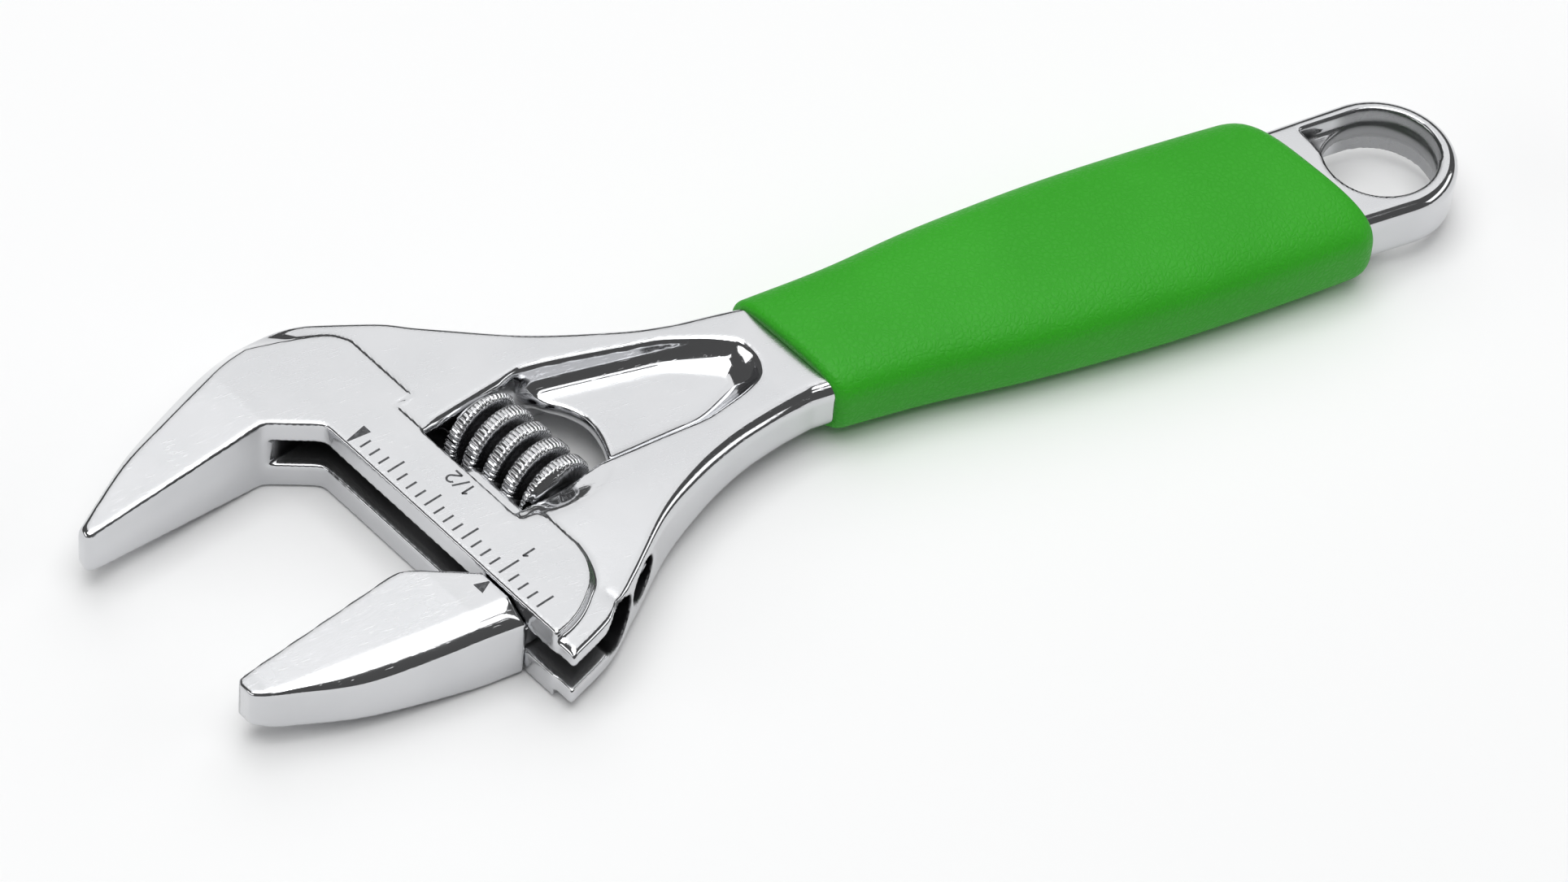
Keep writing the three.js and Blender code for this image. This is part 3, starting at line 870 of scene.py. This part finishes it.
    def shell(self, x: Array, y: Array, z: Array) -> Array:
        """The scale plates, the jaw and the handle before anything is cut away.

        Args:
            x: Places along the handle.
            y: Places across it.
            z: Heights from the mid-plane.

        Returns:
            Signed distances to the solid.
        """
        a, b = self.layout.handle_to_head(x, y)
        thinning = np.maximum(0, self.taper_start - a)
        plate_plan = plan_distance(self.plate(), x, y)
        plate_top = self.plate_top - math.tan(self.taper) * thinning
        plate_bottom = self.plate_bottom - math.tan(self.lower_taper) * thinning
        nose = ease(a, -28.8, -30.9)
        plate = both(plate_plan, np.maximum(z - plate_top, -z - plate_bottom), 0.2 + 0.45 * nose)

        spread = ease(x, self.neck_x, 13.0)
        level = self.handle_half_height + self.shoulder_rise * spread
        level = level - self.corner_drop * spread * ease(b, -23.0, -35.0)
        eye_start = self.layout.eye_x - 12.0
        down_to_eye = self.handle_half_height - self.eye_half_height
        level = level - down_to_eye * ease(x, self.neck_x + 20, eye_start)
        deeper = (self.plate_bottom - self.plate_top) * ease(x, 40.0, 16.0)
        deeper = deeper + self.eye_deeper * ease(x, self.neck_x + 20, eye_start)
        crest = ease(a, 8.0, -1.5) * (b > 0)
        fall_off = 0.06 + 1.25 * np.maximum(plate_plan, 0)
        top = level + (plate_top - fall_off - level) * crest
        bottom = level + deeper + (plate_bottom - fall_off - level - deeper) * crest
        handle_edge = ease(x, 18.0, 34.0)
        over_edge = 0.9 + 1.1 * handle_edge * ease(y, 1.0, -3.0) * ease(x, 100.0, 70.0)
        over_edge = over_edge + 0.7 * ease(x, 70.0, 110.0)
        under_edge = 0.8 + 1.1 * handle_edge * ease(x, 100.0, 60.0)
        soft = np.where(z > 0, over_edge, under_edge) - 0.45 * crest
        silhouette = plan_distance(self.silhouette(), x, y)
        flange = both(silhouette, np.maximum(z - top, -z - bottom), soft + 0.2 * nose)
        return join(plate, flange, 0.12 + 0.5 * ease(b, -24.0, -31.0))

    def painted_shade(self, points: Array) -> Array:
        """How much shade is painted at places of the handle's frame: the insides of the slot and the bores.

        Args:
            points: Places of the handle's frame.

        Returns:
            An amount from 0 to 1 for each place.
        """
        a, b = self.layout.handle_to_head(points[:, 0], points[:, 1])
        z = points[:, 2]
        slot = ease(np.abs(z - self.slot_z), self.slot_half + 0.2, self.slot_half - 0.1)
        inward = -plan_distance(self.silhouette(), points[:, 0], points[:, 1])
        slot = slot * ease(inward, 0.1, 1.3) * (b < self.slot_end + 0.3) * (a < self.bore_a)
        from_bore = np.hypot(a - self.bore_a, z)
        bore = ease(from_bore, self.bore_radius + 0.3, self.bore_radius) * (b < self.bore_end + 0.3)
        pin = ease(np.hypot(a - self.screw.axis_a, z), 2.9, 2.6) * ((b < -19.0) | (b > -4.4))
        # painted shade on the eye's bore wall and in the pocket's far corner
        from_eye = np.hypot(points[:, 0] - self.layout.eye_x, points[:, 1])
        eye = 0.55 * ease(from_eye, self.eye_hole + 0.75, self.eye_hole + 0.2)
        beside_eye = np.abs(points[:, 1]) < self.eye_hole + 0.6
        corner = 0.8 * ease(points[:, 2], self.eye_half_height - 0.2, 1.6) * beside_eye
        corner = corner * ease(points[:, 0], self.layout.eye_x - 4.0, self.layout.eye_x - 5.5) * (
            points[:, 0] > self.layout.eye_x - self.eye_recess - 0.3)
        return np.max([slot, bore, pin, eye, corner], axis=0)

    def build(self) -> bpy.types.Object:
        """The forging's mesh.

        Returns:
            The piece.
        """
        margin = 1.2
        low = (-41.5, -37.0, -self.plate_bottom - margin)
        high = (self.layout.eye_x + self.eye_radius + margin, 34.0, self.plate_top + margin)
        grid = Lattice(low, high, self.step)
        x, y, z = grid.axes()
        a, b = self.layout.handle_to_head(x, y)
        forging = cut(self.shell(x, y, z), self.scoop(a, b, z), 0.9)
        along = ease(x, 34.0, 43.0)
        depth = np.abs(z) - self.web_half
        side = plan_distance(self.recess(), x, y) - depth * 0.45 + 0.75 + 1.6 * along
        forging = cut(forging, both(side, -depth, 1.6 + 1.4 * along), 0.35)
        window = plan_distance(self.window(), x, y) * np.ones_like(z)
        forging = cut(forging, window, 0.4 + 0.7 * ease(b, -8.0, -5.0) * ease(a, 7.0, 9.5))

        hollow = both(plan_distance(self.eye_pocket(), x, y), -depth, 0.5)
        forging = cut(forging, hollow, 0.25)
        eye = np.hypot(x - self.layout.eye_x, y) - self.eye_hole - 0.035 * np.abs(z)
        forging = cut(forging, eye, 0.28)

        slot_span = np.maximum(b - self.slot_end, a - self.bore_a)
        slot = both(np.abs(z - self.slot_z) - self.slot_half, slot_span, 0.2)
        bore = rod(a - self.bore_a, z, b, self.bore_radius, -60.0, self.bore_end, 1.8)
        forging = cut(cut(forging, slot, 0.2), bore, 0.2)
        pin_a = a - self.screw.axis_a
        forging = cut(forging, rod(pin_a, z, b, 1.8, -10.0, -1.0), 0.1)
        forging = cut(forging, rod(pin_a, z, b, 2.6, -60.0, -18.0), 0.2)
        points, normals, faces = grid.skin(forging)
        made = mesh_object("forged_body", self.layout.row_from_handle(points), faces, normals)
        # painted shade in the slot, the bores and the eye pocket
        paint_shade(made, self.painted_shade(points))
        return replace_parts(made, "body")

    def dress(self) -> None:
        """The forging in chrome."""
        dress(self.build(), self.finish.make(), "handle")


@dataclass
class MovableJaw:
    """The movable jaw, its neck and its toothed slide bar."""

    layout: Layout
    screw: Screw
    finish: Chrome
    step: float = 0.26
    face: float = -17.8
    tip: float = -31.2
    base: float = -1.2
    top: float = 4.4
    bottom: float = 5.7
    bevel_fall: float = 0.63
    taper: float = math.radians(3.6)
    lower_taper: float = math.radians(6.5)
    taper_start: float = -6.0
    bar_a: float = 8.0
    bar_radius: float = 3.0
    bar_ahead: float = 8.3
    bar_behind: float = 15.2
    bar_nose: float = 1.9
    neck_half: float = 1.6
    neck_z: float = -0.4

    def outline(self, side: Sequence[Point]) -> list[Point]:
        """The jaw's outline.

        Args:
            side: Places on its outer side, each as a and the depth behind the nut face.

        Returns:
            The corners in order.
        """
        front = [(self.tip + 0.5, 0.0), (self.tip, 0.55), (self.tip, side[0][1] - 0.5)]
        back = [(self.base, 6.1), (-6.0, 1.75), *curve([(-7.2, 0.75), (-8.2, 0.16), (-9.4, 0.0)], 4)]
        return [(a, self.face - depth) for a, depth in [*front, *curve(side), *back]]

    def build(self) -> bpy.types.Object:
        """The movable jaw's mesh.

        Returns:
            The piece.
        """
        low_corner = (self.tip - 1, self.face - self.bar_behind - 1, -self.bottom - 1)
        grid = Lattice(low_corner, (12.4, -8.4, self.top + 1), self.step)
        a, b, z = grid.axes()
        lower = [(-30.9, 2.9), (-29.6, 4.0), (-27.3, 5.3), (-20.1, 8.8), (-10.7, 11.6), (self.base, 13.8)]
        upper = [(-30.9, 2.3), (-29.6, 3.2), (-27.3, 4.2), (-17.8, 6.7), (-8.4, 9.2), (self.base, 10.6)]
        wide = plan_distance(self.outline(lower), a, b)
        narrow = plan_distance(self.outline(upper), a, b)
        thinning = np.maximum(0, self.taper_start - a)
        top = self.top - math.tan(self.taper) * thinning
        bottom = self.bottom - math.tan(self.lower_taper) * thinning
        width = np.maximum(narrow - wide, 0.05)
        share = np.where(narrow > 0, np.clip(-wide / width, 0, 1), 1.0)
        fall = self.bevel_fall * width
        slope = top - fall * (0.46 * (1 - share) + 0.54 * (1 - share) ** 2)
        lean = np.where(narrow > 0, np.hypot(1, self.bevel_fall * (1.54 - 1.08 * share)), 1.0)
        nose = ease(a, -28.8, -30.9)
        jaw = both(wide, (z - slope) / lean, 0.25)
        jaw = both(jaw, np.maximum(z - top, -z - bottom), 0.2 + 0.4 * nose)
        neck_across = np.abs(b - self.face + 9.95) - 3.45
        neck_span = np.maximum(np.maximum(self.base - 1 - a, a - self.bar_a), neck_across)
        jaw = join(jaw, both(neck_span, np.abs(z - self.neck_z) - self.neck_half, 0.2), 0.4)
        low, high = self.face - self.bar_behind, self.face + self.bar_ahead
        bar = rod(a - self.bar_a, z, b, self.bar_radius, low, high, self.bar_nose)
        jaw = join(jaw, bar, 0.3)
        around = np.arctan2(z, a - self.screw.axis_a) / (2 * math.pi)
        thread = np.hypot(a - self.screw.axis_a, z) - self.screw.thread_radius(-b, around, 0.2)
        jaw = cut(jaw, thread * 0.8, 0.15)
        points, normals, faces = grid.skin(jaw)
        made = mesh_object("slide_jaw", self.layout.row_from_head(points), faces, normals)
        # painted shade on the rack cut beside the worm
        far = np.hypot(points[:, 0] - self.screw.axis_a, points[:, 2])
        near_worm = ease(far, self.screw.radius + 1.2, self.screw.radius - 0.6)
        paint_shade(made, 0.8 * ease(points[:, 0], 2.0, 4.5) * near_worm)
        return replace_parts(made, "movable_jaw")

    def dress(self) -> None:
        """The movable jaw in chrome."""
        dress(self.build(), self.finish.make(), "jaw")


@dataclass
class Worm:
    """The knurled adjusting worm."""

    layout: Layout
    screw: Screw
    finish: Chrome
    around: int = 512
    ribs: int = 56
    rib_depth: float = 0.22
    rows_per_mm: int = 9
    hole: float = 1.8
    hub: float = 3.4
    end_bevel: float = 0.7

    def profile(self) -> Array:
        """Places along the worm as u and the most that the radius may be there.

        Returns:
            One row for each place.
        """
        start, end = self.screw.start, self.screw.start + self.screw.length
        most = self.screw.radius
        rows = [(start + 0.5, self.hole), (start + 0.12, self.hole + 0.25), (start, self.hub - 0.3)]
        for u in np.linspace(start, end, int(self.screw.length * self.rows_per_mm)):
            inset = min(u - start, end - u)
            rows.append((u, most - self.end_bevel * (1 - ease(inset, 0, self.end_bevel))))
        rows += [(end, self.hub - 0.3), (end - 0.12, self.hole + 0.25), (end - 0.5, self.hole)]
        return np.array(rows)

    def build(self) -> bpy.types.Object:
        """The worm's mesh, a ring of points at each place along it.

        Returns:
            The piece.
        """
        turn = np.arange(self.around) / self.around
        angle = 2 * math.pi * turn
        wave = np.abs(((turn * self.ribs) % 1.0) - 0.5) * 2
        ribs = self.rib_depth * ease(wave, 0.55, 1.0)
        rings, painted_dark = [], []
        for u, most in self.profile():
            radius = self.screw.thread_radius(u, turn)
            from_crest = self.screw.from_crest(u, turn)
            round_off = 0.2 * ease(from_crest, 0.16, 0.27)
            groove = ribs * (0.45 + 0.55 * ease(from_crest, 0.08, 0.22)) * (radius > 4.6)
            radius = np.minimum(radius - round_off - groove, most)
            # painted shade in the thread valleys, darker the deeper the valley
            painted_dark.append(0.9 * ease(radius, self.screw.radius - 0.7, self.screw.radius - 1.6))
            across, up = radius * np.cos(angle), radius * np.sin(angle)
            place = [self.screw.axis_a + across, np.full_like(angle, -u), up]
            rings.append(np.stack(place, axis=1))
        rings = np.array(rings)
        points = self.layout.row_from_head(rings.reshape(-1, 3))
        made = mesh_object("knurled_worm", points, wrapped(rings, True))
        paint_shade(made, np.concatenate(painted_dark))
        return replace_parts(made, "worm")

    def dress(self) -> None:
        """The worm in chrome."""
        dress(self.build(), self.finish.make(), "screw")


@dataclass
class WormPin:
    """The slotted pin that the worm turns on."""

    layout: Layout
    screw: Screw
    finish: Steel
    step: float = 0.13
    radius: float = 1.5
    head_radius: float = 2.3
    slot_half: float = 0.4
    slot_depth: float = 1.0
    head_end: float = -31.6
    neck: float = -19.9
    far_end: float = -0.9

    def build(self) -> bpy.types.Object:
        """The pin's mesh.

        Returns:
            The piece.
        """
        reach = self.head_radius + 0.5
        axis_a = self.screw.axis_a
        low = (axis_a - reach, self.head_end - 0.6, -reach)
        high = (axis_a + reach, self.far_end + 0.6, reach)
        grid = Lattice(low, high, self.step)
        a, b, z = grid.axes()
        head = rod(a - axis_a, z, b, self.head_radius, self.head_end, self.neck, 0.3)
        pin = join(head, rod(a - axis_a, z, b, self.radius, self.neck - 1, self.far_end, 0.3), 0.1)
        slot = np.maximum(np.abs(z) - self.slot_half, b - self.head_end - self.slot_depth)
        points, normals, faces = grid.skin(cut(pin, slot * np.ones_like(pin), 0.1))
        made = mesh_object("slotted_pin", self.layout.row_from_head(points), faces, normals)
        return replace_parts(made, "worm_pin")

    def dress(self) -> None:
        """The pin in turned steel."""
        dress(self.build(), self.finish.make(), "handle")


@dataclass
class WormSpring:
    """The small coil spring in the worm's end."""

    layout: Layout
    screw: Screw
    finish: Steel
    wire: float = 0.2
    coil: float = 2.0
    turns: int = 5
    first: float = 4.55
    last: float = 7.7

    def build(self) -> bpy.types.Object:
        """The spring's mesh, a ring of points at each place along the wire.

        Returns:
            The piece.
        """
        share = np.linspace(0, 1, self.turns * 28 + 1)
        angle = 2 * math.pi * self.turns * share
        pinch = np.sqrt(np.clip(np.minimum(share, 1 - share) * 120, 0.04, 1))
        section = 2 * math.pi * np.arange(12) / 12
        across = self.wire * np.outer(pinch, np.cos(section))
        along = self.wire * np.outer(pinch, np.sin(section))
        radius = self.coil + across
        u = (self.first + (self.last - self.first) * share)[:, None] + along
        place = [self.screw.axis_a + radius * np.cos(angle)[:, None], -u, radius * np.sin(angle)[:, None]]
        rings = np.stack(place, axis=-1)
        faces = wrapped(rings, False)
        made = mesh_object("coil_spring", self.layout.row_from_head(rings.reshape(-1, 3)), faces)
        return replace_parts(made, "worm_spring")

    def dress(self) -> None:
        """The spring in drawn wire."""
        dress(self.build(), self.finish.make(), "handle")


@dataclass
class Grip:
    """The dipped sleeve round the handle."""

    layout: Layout
    finish: DippedGrip
    start: float = 48.3
    length: float = 69.8
    stations: int = 150
    around: int = 160
    squareness: float = 3.1
    widths: tuple[Point, ...] = (
        (0.0, 9.35), (0.17, 9.95), (0.34, 11.35), (0.52, 12.2),
        (0.65, 12.5), (0.8, 12.45), (0.95, 12.15), (1.0, 12.0),
    )
    heights: tuple[Point, ...] = ((0.0, 5.1), (0.2, 5.6), (0.4, 6.0), (0.6, 6.2), (0.9, 6.1), (1.0, 5.9))
    core_half: float = 3.56

    def ring(self, x: float, half_width: float, half_height: float, squareness: float) -> Array:
        """One slanted ring of points round the handle.

        Args:
            x: Place along the handle.
            half_width: Half the width.
            half_height: Half the height.
            squareness: Power of the section, 2 for an ellipse.

        Returns:
            The points.
        """
        angle = 2 * math.pi * np.arange(self.around) / self.around
        cos, sin = np.cos(angle), np.sin(angle)
        y = half_width * np.sign(cos) * np.abs(cos) ** (2 / squareness)
        z = half_height * np.sign(sin) * np.abs(sin) ** (2 / squareness)
        return np.stack([x - math.tan(self.layout.angle) * y, y, z], axis=1)

    def outside(self) -> list[Array]:
        """The rings of the outer surface, with rounded ends.

        Returns:
            The rings, from the head end.
        """
        middle = np.linspace(0, 1, self.stations)
        lip = 1 - np.cos(np.linspace(0, math.pi / 2, 12))
        shares = np.concatenate([lip * 0.02, 0.02 + middle[1:-1] * 0.92, 1 - lip[::-1] * 0.06])
        width = np.array(curve(self.widths, 10))
        height = np.array(curve(self.heights, 10))
        rings = []
        for share in shares:
            half_width = np.interp(share, width[:, 0], width[:, 1])
            half_height = np.interp(share, height[:, 0], height[:, 1])
            front = 1 - min(share * self.length / 1.1, 1)
            rear_wide = 1 - min((1 - share) * self.length / 3.6, 1)
            rear_high = 1 - min((1 - share) * self.length / 2.2, 1)
            half_width -= 0.8 * (1 - math.sqrt(1 - front**2)) + 2.6 * (1 - math.sqrt(1 - rear_wide**2))
            half_height -= 0.8 * (1 - math.sqrt(1 - front**2)) + 1.6 * (1 - math.sqrt(1 - rear_high**2))
            x = self.start + share * self.length
            rings.append(self.ring(x, half_width, half_height, self.squareness))
        return rings

    def build(self) -> bpy.types.Object:
        """The sleeve's mesh, its outer surface closed on the handle's own section.

        Returns:
            The piece.
        """
        rings = self.outside()
        core = [(1.0, 8.85), (0.66, 8.3), (0.33, 7.95), (0.0, 7.55)]
        rings += [self.ring(self.start + s * self.length, half, self.core_half, 7.0) for s, half in core]
        rings = np.array(rings)
        points = self.layout.row_from_handle(rings.reshape(-1, 3))
        made = mesh_object("dipped_grip", points, wrapped(rings, True)[:, ::-1])
        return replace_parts(made, "grip")

    def dress(self) -> None:
        """The grip in grained soft plastic."""
        dress(self.build(), self.finish.make(), "handle")


# ---- Marks --------------------------------------------------------------------------------------


@dataclass
class Strokes:
    """Stamped strokes on a flat, gathered into one mesh."""

    top: float
    proud: float = 0.012
    sunk: float = 0.06
    points: list[Array] = field(default_factory=list)

    def bar(self, start: Point, end: Point, start_width: float, end_width: float) -> None:
        """Adds one straight stroke.

        Args:
            start: Where it begins, as a and b.
            end: Where it ends.
            start_width: Its width where it begins.
            end_width: Its width where it ends.
        """
        first, last = np.array(start), np.array(end)
        run = (last - first) / np.linalg.norm(last - first)
        side = np.array([-run[1], run[0]])
        corners = []
        for height, spread in ((self.top - self.sunk, 0.03), (self.top + self.proud, 0.0)):
            for place, half, away in ((first, start_width / 2, 1), (first, start_width / 2, -1),
                                      (last, end_width / 2, -1), (last, end_width / 2, 1)):
                corners.append([*(place + side * (half + spread) * away), height])
        self.points.append(np.array(corners))

    def line(self, places: Sequence[Point], width: float) -> None:
        """Adds a bent stroke of one width through places."""
        for start, end in zip(places, places[1:]):
            self.bar(start, end, width, width)

    def build(self, name: str, layout: Layout) -> bpy.types.Object:
        """The strokes' mesh under a name.

        Args:
            name: Name of the mesh.
            layout: The tool's frames.

        Returns:
            The piece.
        """
        sides = [(0, 3, 2, 1), (4, 5, 6, 7), (0, 1, 5, 4), (1, 2, 6, 5), (2, 3, 7, 6), (3, 0, 4, 7)]
        faces = np.array([np.array(sides) + 8 * i for i in range(len(self.points))]).reshape(-1, 4)
        made = mesh_object(name, layout.row_from_head(np.vstack(self.points)), faces)
        made.data.shade_flat()
        return made


@dataclass
class ScaleMarks:
    """The inch scale on the plate and the arrow on the movable jaw."""

    layout: Layout
    finish: StampedMark
    plate_top: float = 4.7
    jaw_top: float = 4.4
    spacing: float = 25.4 / 16
    ticks: int = 20
    line_width: float = 0.27
    digit_height: float = 1.75
    digit_stroke: float = 0.26

    def tick_length(self, number: int) -> float:
        """How long a tick is.

        Args:
            number: Which tick, counted from the zero.

        Returns:
            Its length.
        """
        if number == 16:
            return 2.9
        return 2.45 if number % 4 == 0 else 1.55

    def digit(self, strokes: Strokes, shape: Sequence[Point], a: float, b: float) -> None:
        """Draws a digit's outline, given as right and up, with its foot's middle at a and b."""
        size = self.digit_height
        strokes.line([(a - up * size, b + right * size) for right, up in shape], self.digit_stroke)

    def build(self) -> tuple[bpy.types.Object, bpy.types.Object]:
        """The scale's mesh and the arrow's mesh.

        Returns:
            The scale and the arrow.
        """
        scale = Strokes(self.plate_top)
        scale.bar((-0.55, 0.0), (2.4, 0.0), 0.22, 1.25)
        for number in range(1, self.ticks + 1):
            b = -number * self.spacing
            scale.bar((0.0, b), (self.tick_length(number), b), self.line_width, self.line_width)
        one = [(-0.22, 0.72), (0.0, 1.0), (0.0, 0.0)]
        slant = [(-0.2, -0.05), (0.28, 1.05)]
        sweep = np.linspace(math.pi * 0.93, -0.75, 10)
        turn = [(0.30 * math.cos(t), 0.70 + 0.30 * math.sin(t)) for t in sweep]
        two = [*turn, (-0.30, 0.0), (0.34, 0.0)]
        half_inch, inch = -8 * self.spacing, -16 * self.spacing
        self.digit(scale, one, 6.1, half_inch - 1.3)
        self.digit(scale, slant, 6.1, half_inch - 0.2)
        self.digit(scale, two, 6.1, half_inch + 1.15)
        self.digit(scale, one, 5.4, inch + 0.2)
        arrow = Strokes(self.jaw_top)
        arrow.bar((-3.1, -25.5), (-1.45, -25.5), 1.5, 0.1)
        return scale.build("scale_marks", self.layout), arrow.build("opening_arrow", self.layout)

    def dress(self) -> None:
        """The marks in dull dark metal."""
        scale, arrow = self.build()
        stamped = self.finish.make()
        dress(scale, stamped, "handle")
        dress(arrow, stamped, "jaw")


# ---- Studio -------------------------------------------------------------------------------------


@dataclass(frozen=True)
class Softbox:
    """A rectangular lamp aimed at the tool."""

    name: str
    azimuth: float
    elevation: float
    distance: float
    width: float
    height: float
    radiance: float

    def light(self, target: Vector) -> None:
        """Places the lamp, given as degrees round from +X and up from the floor.

        Args:
            target: Place that the lamp is aimed at.
        """
        data = bpy.data.lights.new(self.name, "AREA")
        data.shape = "RECTANGLE"
        data.size = self.width
        data.size_y = self.height
        data.energy = self.radiance * math.pi * self.width * self.height
        lamp = bpy.data.objects.new(self.name, data)
        turn, rise = math.radians(self.azimuth), math.radians(self.elevation)
        away = Vector((math.cos(turn) * math.cos(rise), math.sin(turn) * math.cos(rise), math.sin(rise)))
        lamp.location = target + away * self.distance
        lamp.rotation_euler = away.to_track_quat("Z", "Y").to_euler()
        bpy.context.scene.collection.objects.link(lamp)


@dataclass
class Studio:
    """The floor, the lamps and the camera, which is aimed at a place of the handle's frame."""

    layout: Layout
    floor_half: float = 6.0
    world: float = 0.10
    azimuth: float = 31.35
    elevation: float = 48.09
    roll: float = 5.99
    distance: float = 0.7630
    lens: float = 154.06
    aim: tuple[float, float, float] = (43.076, -10.267, 0.0)
    boxes: tuple[Softbox, ...] = (
        Softbox("back_box", 58.0, 50.0, 1.0, 1.1, 0.9, 1.04),
        Softbox("top_box", 200.0, 84.0, 1.0, 0.9, 0.9, 2.85),
        Softbox("left_box", 172.0, 22.0, 1.1, 0.9, 0.30, 1.9),
        Softbox("right_box", -20.0, 24.0, 1.1, 0.9, 0.30, 1.6),
        Softbox("front_strip", -95.0, 60.0, 1.1, 1.2, 0.16, 2.0),
    )

    def build(self) -> None:
        """Sets up everything round the tool."""
        floor_z = CAD_BOX[0][2]
        steps = np.linspace(-self.floor_half, self.floor_half, 9)
        places = [[x, y, floor_z] for y in steps for x in steps]
        quads = [[j * 9 + i, j * 9 + i + 1, j * 9 + i + 10, j * 9 + i + 9] for j in range(8) for i in range(8)]
        floor = mesh_object("studio_floor", np.array(places), np.array(quads))
        floor.data.materials.append(StudioFloor("pale_floor").make())
        world = bpy.data.worlds.new("studio")
        world.use_nodes = True
        world.node_tree.nodes["Background"].inputs["Color"].default_value = (self.world,) * 3 + (1.0,)
        bpy.context.scene.world = world
        bpy.context.scene.view_settings.view_transform = "Standard"
        for box in self.boxes:
            box.light(Vector((0.0, 0.0, floor_z)))
        self.camera()

    def camera(self) -> None:
        """Places the camera."""
        turn, rise, roll = (math.radians(value) for value in (self.azimuth, self.elevation, self.roll))
        ahead = Vector((math.sin(turn) * math.cos(rise), math.cos(turn) * math.cos(rise), -math.sin(rise)))
        level = Vector((math.cos(turn), -math.sin(turn), 0.0))
        upright = level.cross(ahead)
        right = level * math.cos(roll) + upright * math.sin(roll)
        up = upright * math.cos(roll) - level * math.sin(roll)
        axes = Matrix((right, up, -ahead)).transposed().to_4x4()
        data = bpy.data.cameras.new("camera")
        data.lens = self.lens
        data.sensor_width = 36.0
        camera = bpy.data.objects.new("camera", data)
        aim = Vector(self.layout.row_from_handle(np.array([self.aim]))[0])
        camera.matrix_world = Matrix.Translation(aim - ahead * self.distance) @ axes
        bpy.context.scene.collection.objects.link(camera)
        bpy.context.scene.camera = camera


def main() -> None:
    """Builds the tool round its frame."""
    logging.basicConfig(level=logging.INFO, format="%(name)s: %(message)s")
    layout = Layout()
    screw = Screw()
    Studio(layout).build()
    Forging(layout, screw, Chrome("body_chrome_plate")).dress()
    MovableJaw(layout, screw, Chrome("jaw_chrome_plate")).dress()
    Worm(layout, screw, Chrome("worm_chrome_plate", flat_roughness=0.09, polish_roughness=0.09)).dress()
    WormPin(layout, screw, Steel("turned_steel", (0.52, 0.53, 0.55), (0.38, 0.39, 0.41))).dress()
    WormSpring(layout, screw, Steel("drawn_wire", (0.42, 0.43, 0.45), (0.30, 0.31, 0.33), 0.35)).dress()
    Grip(layout, DippedGrip("green_grip")).dress()
    ScaleMarks(layout, StampedMark("stamped_marks")).dress()


if __name__ == "__main__":
    main()
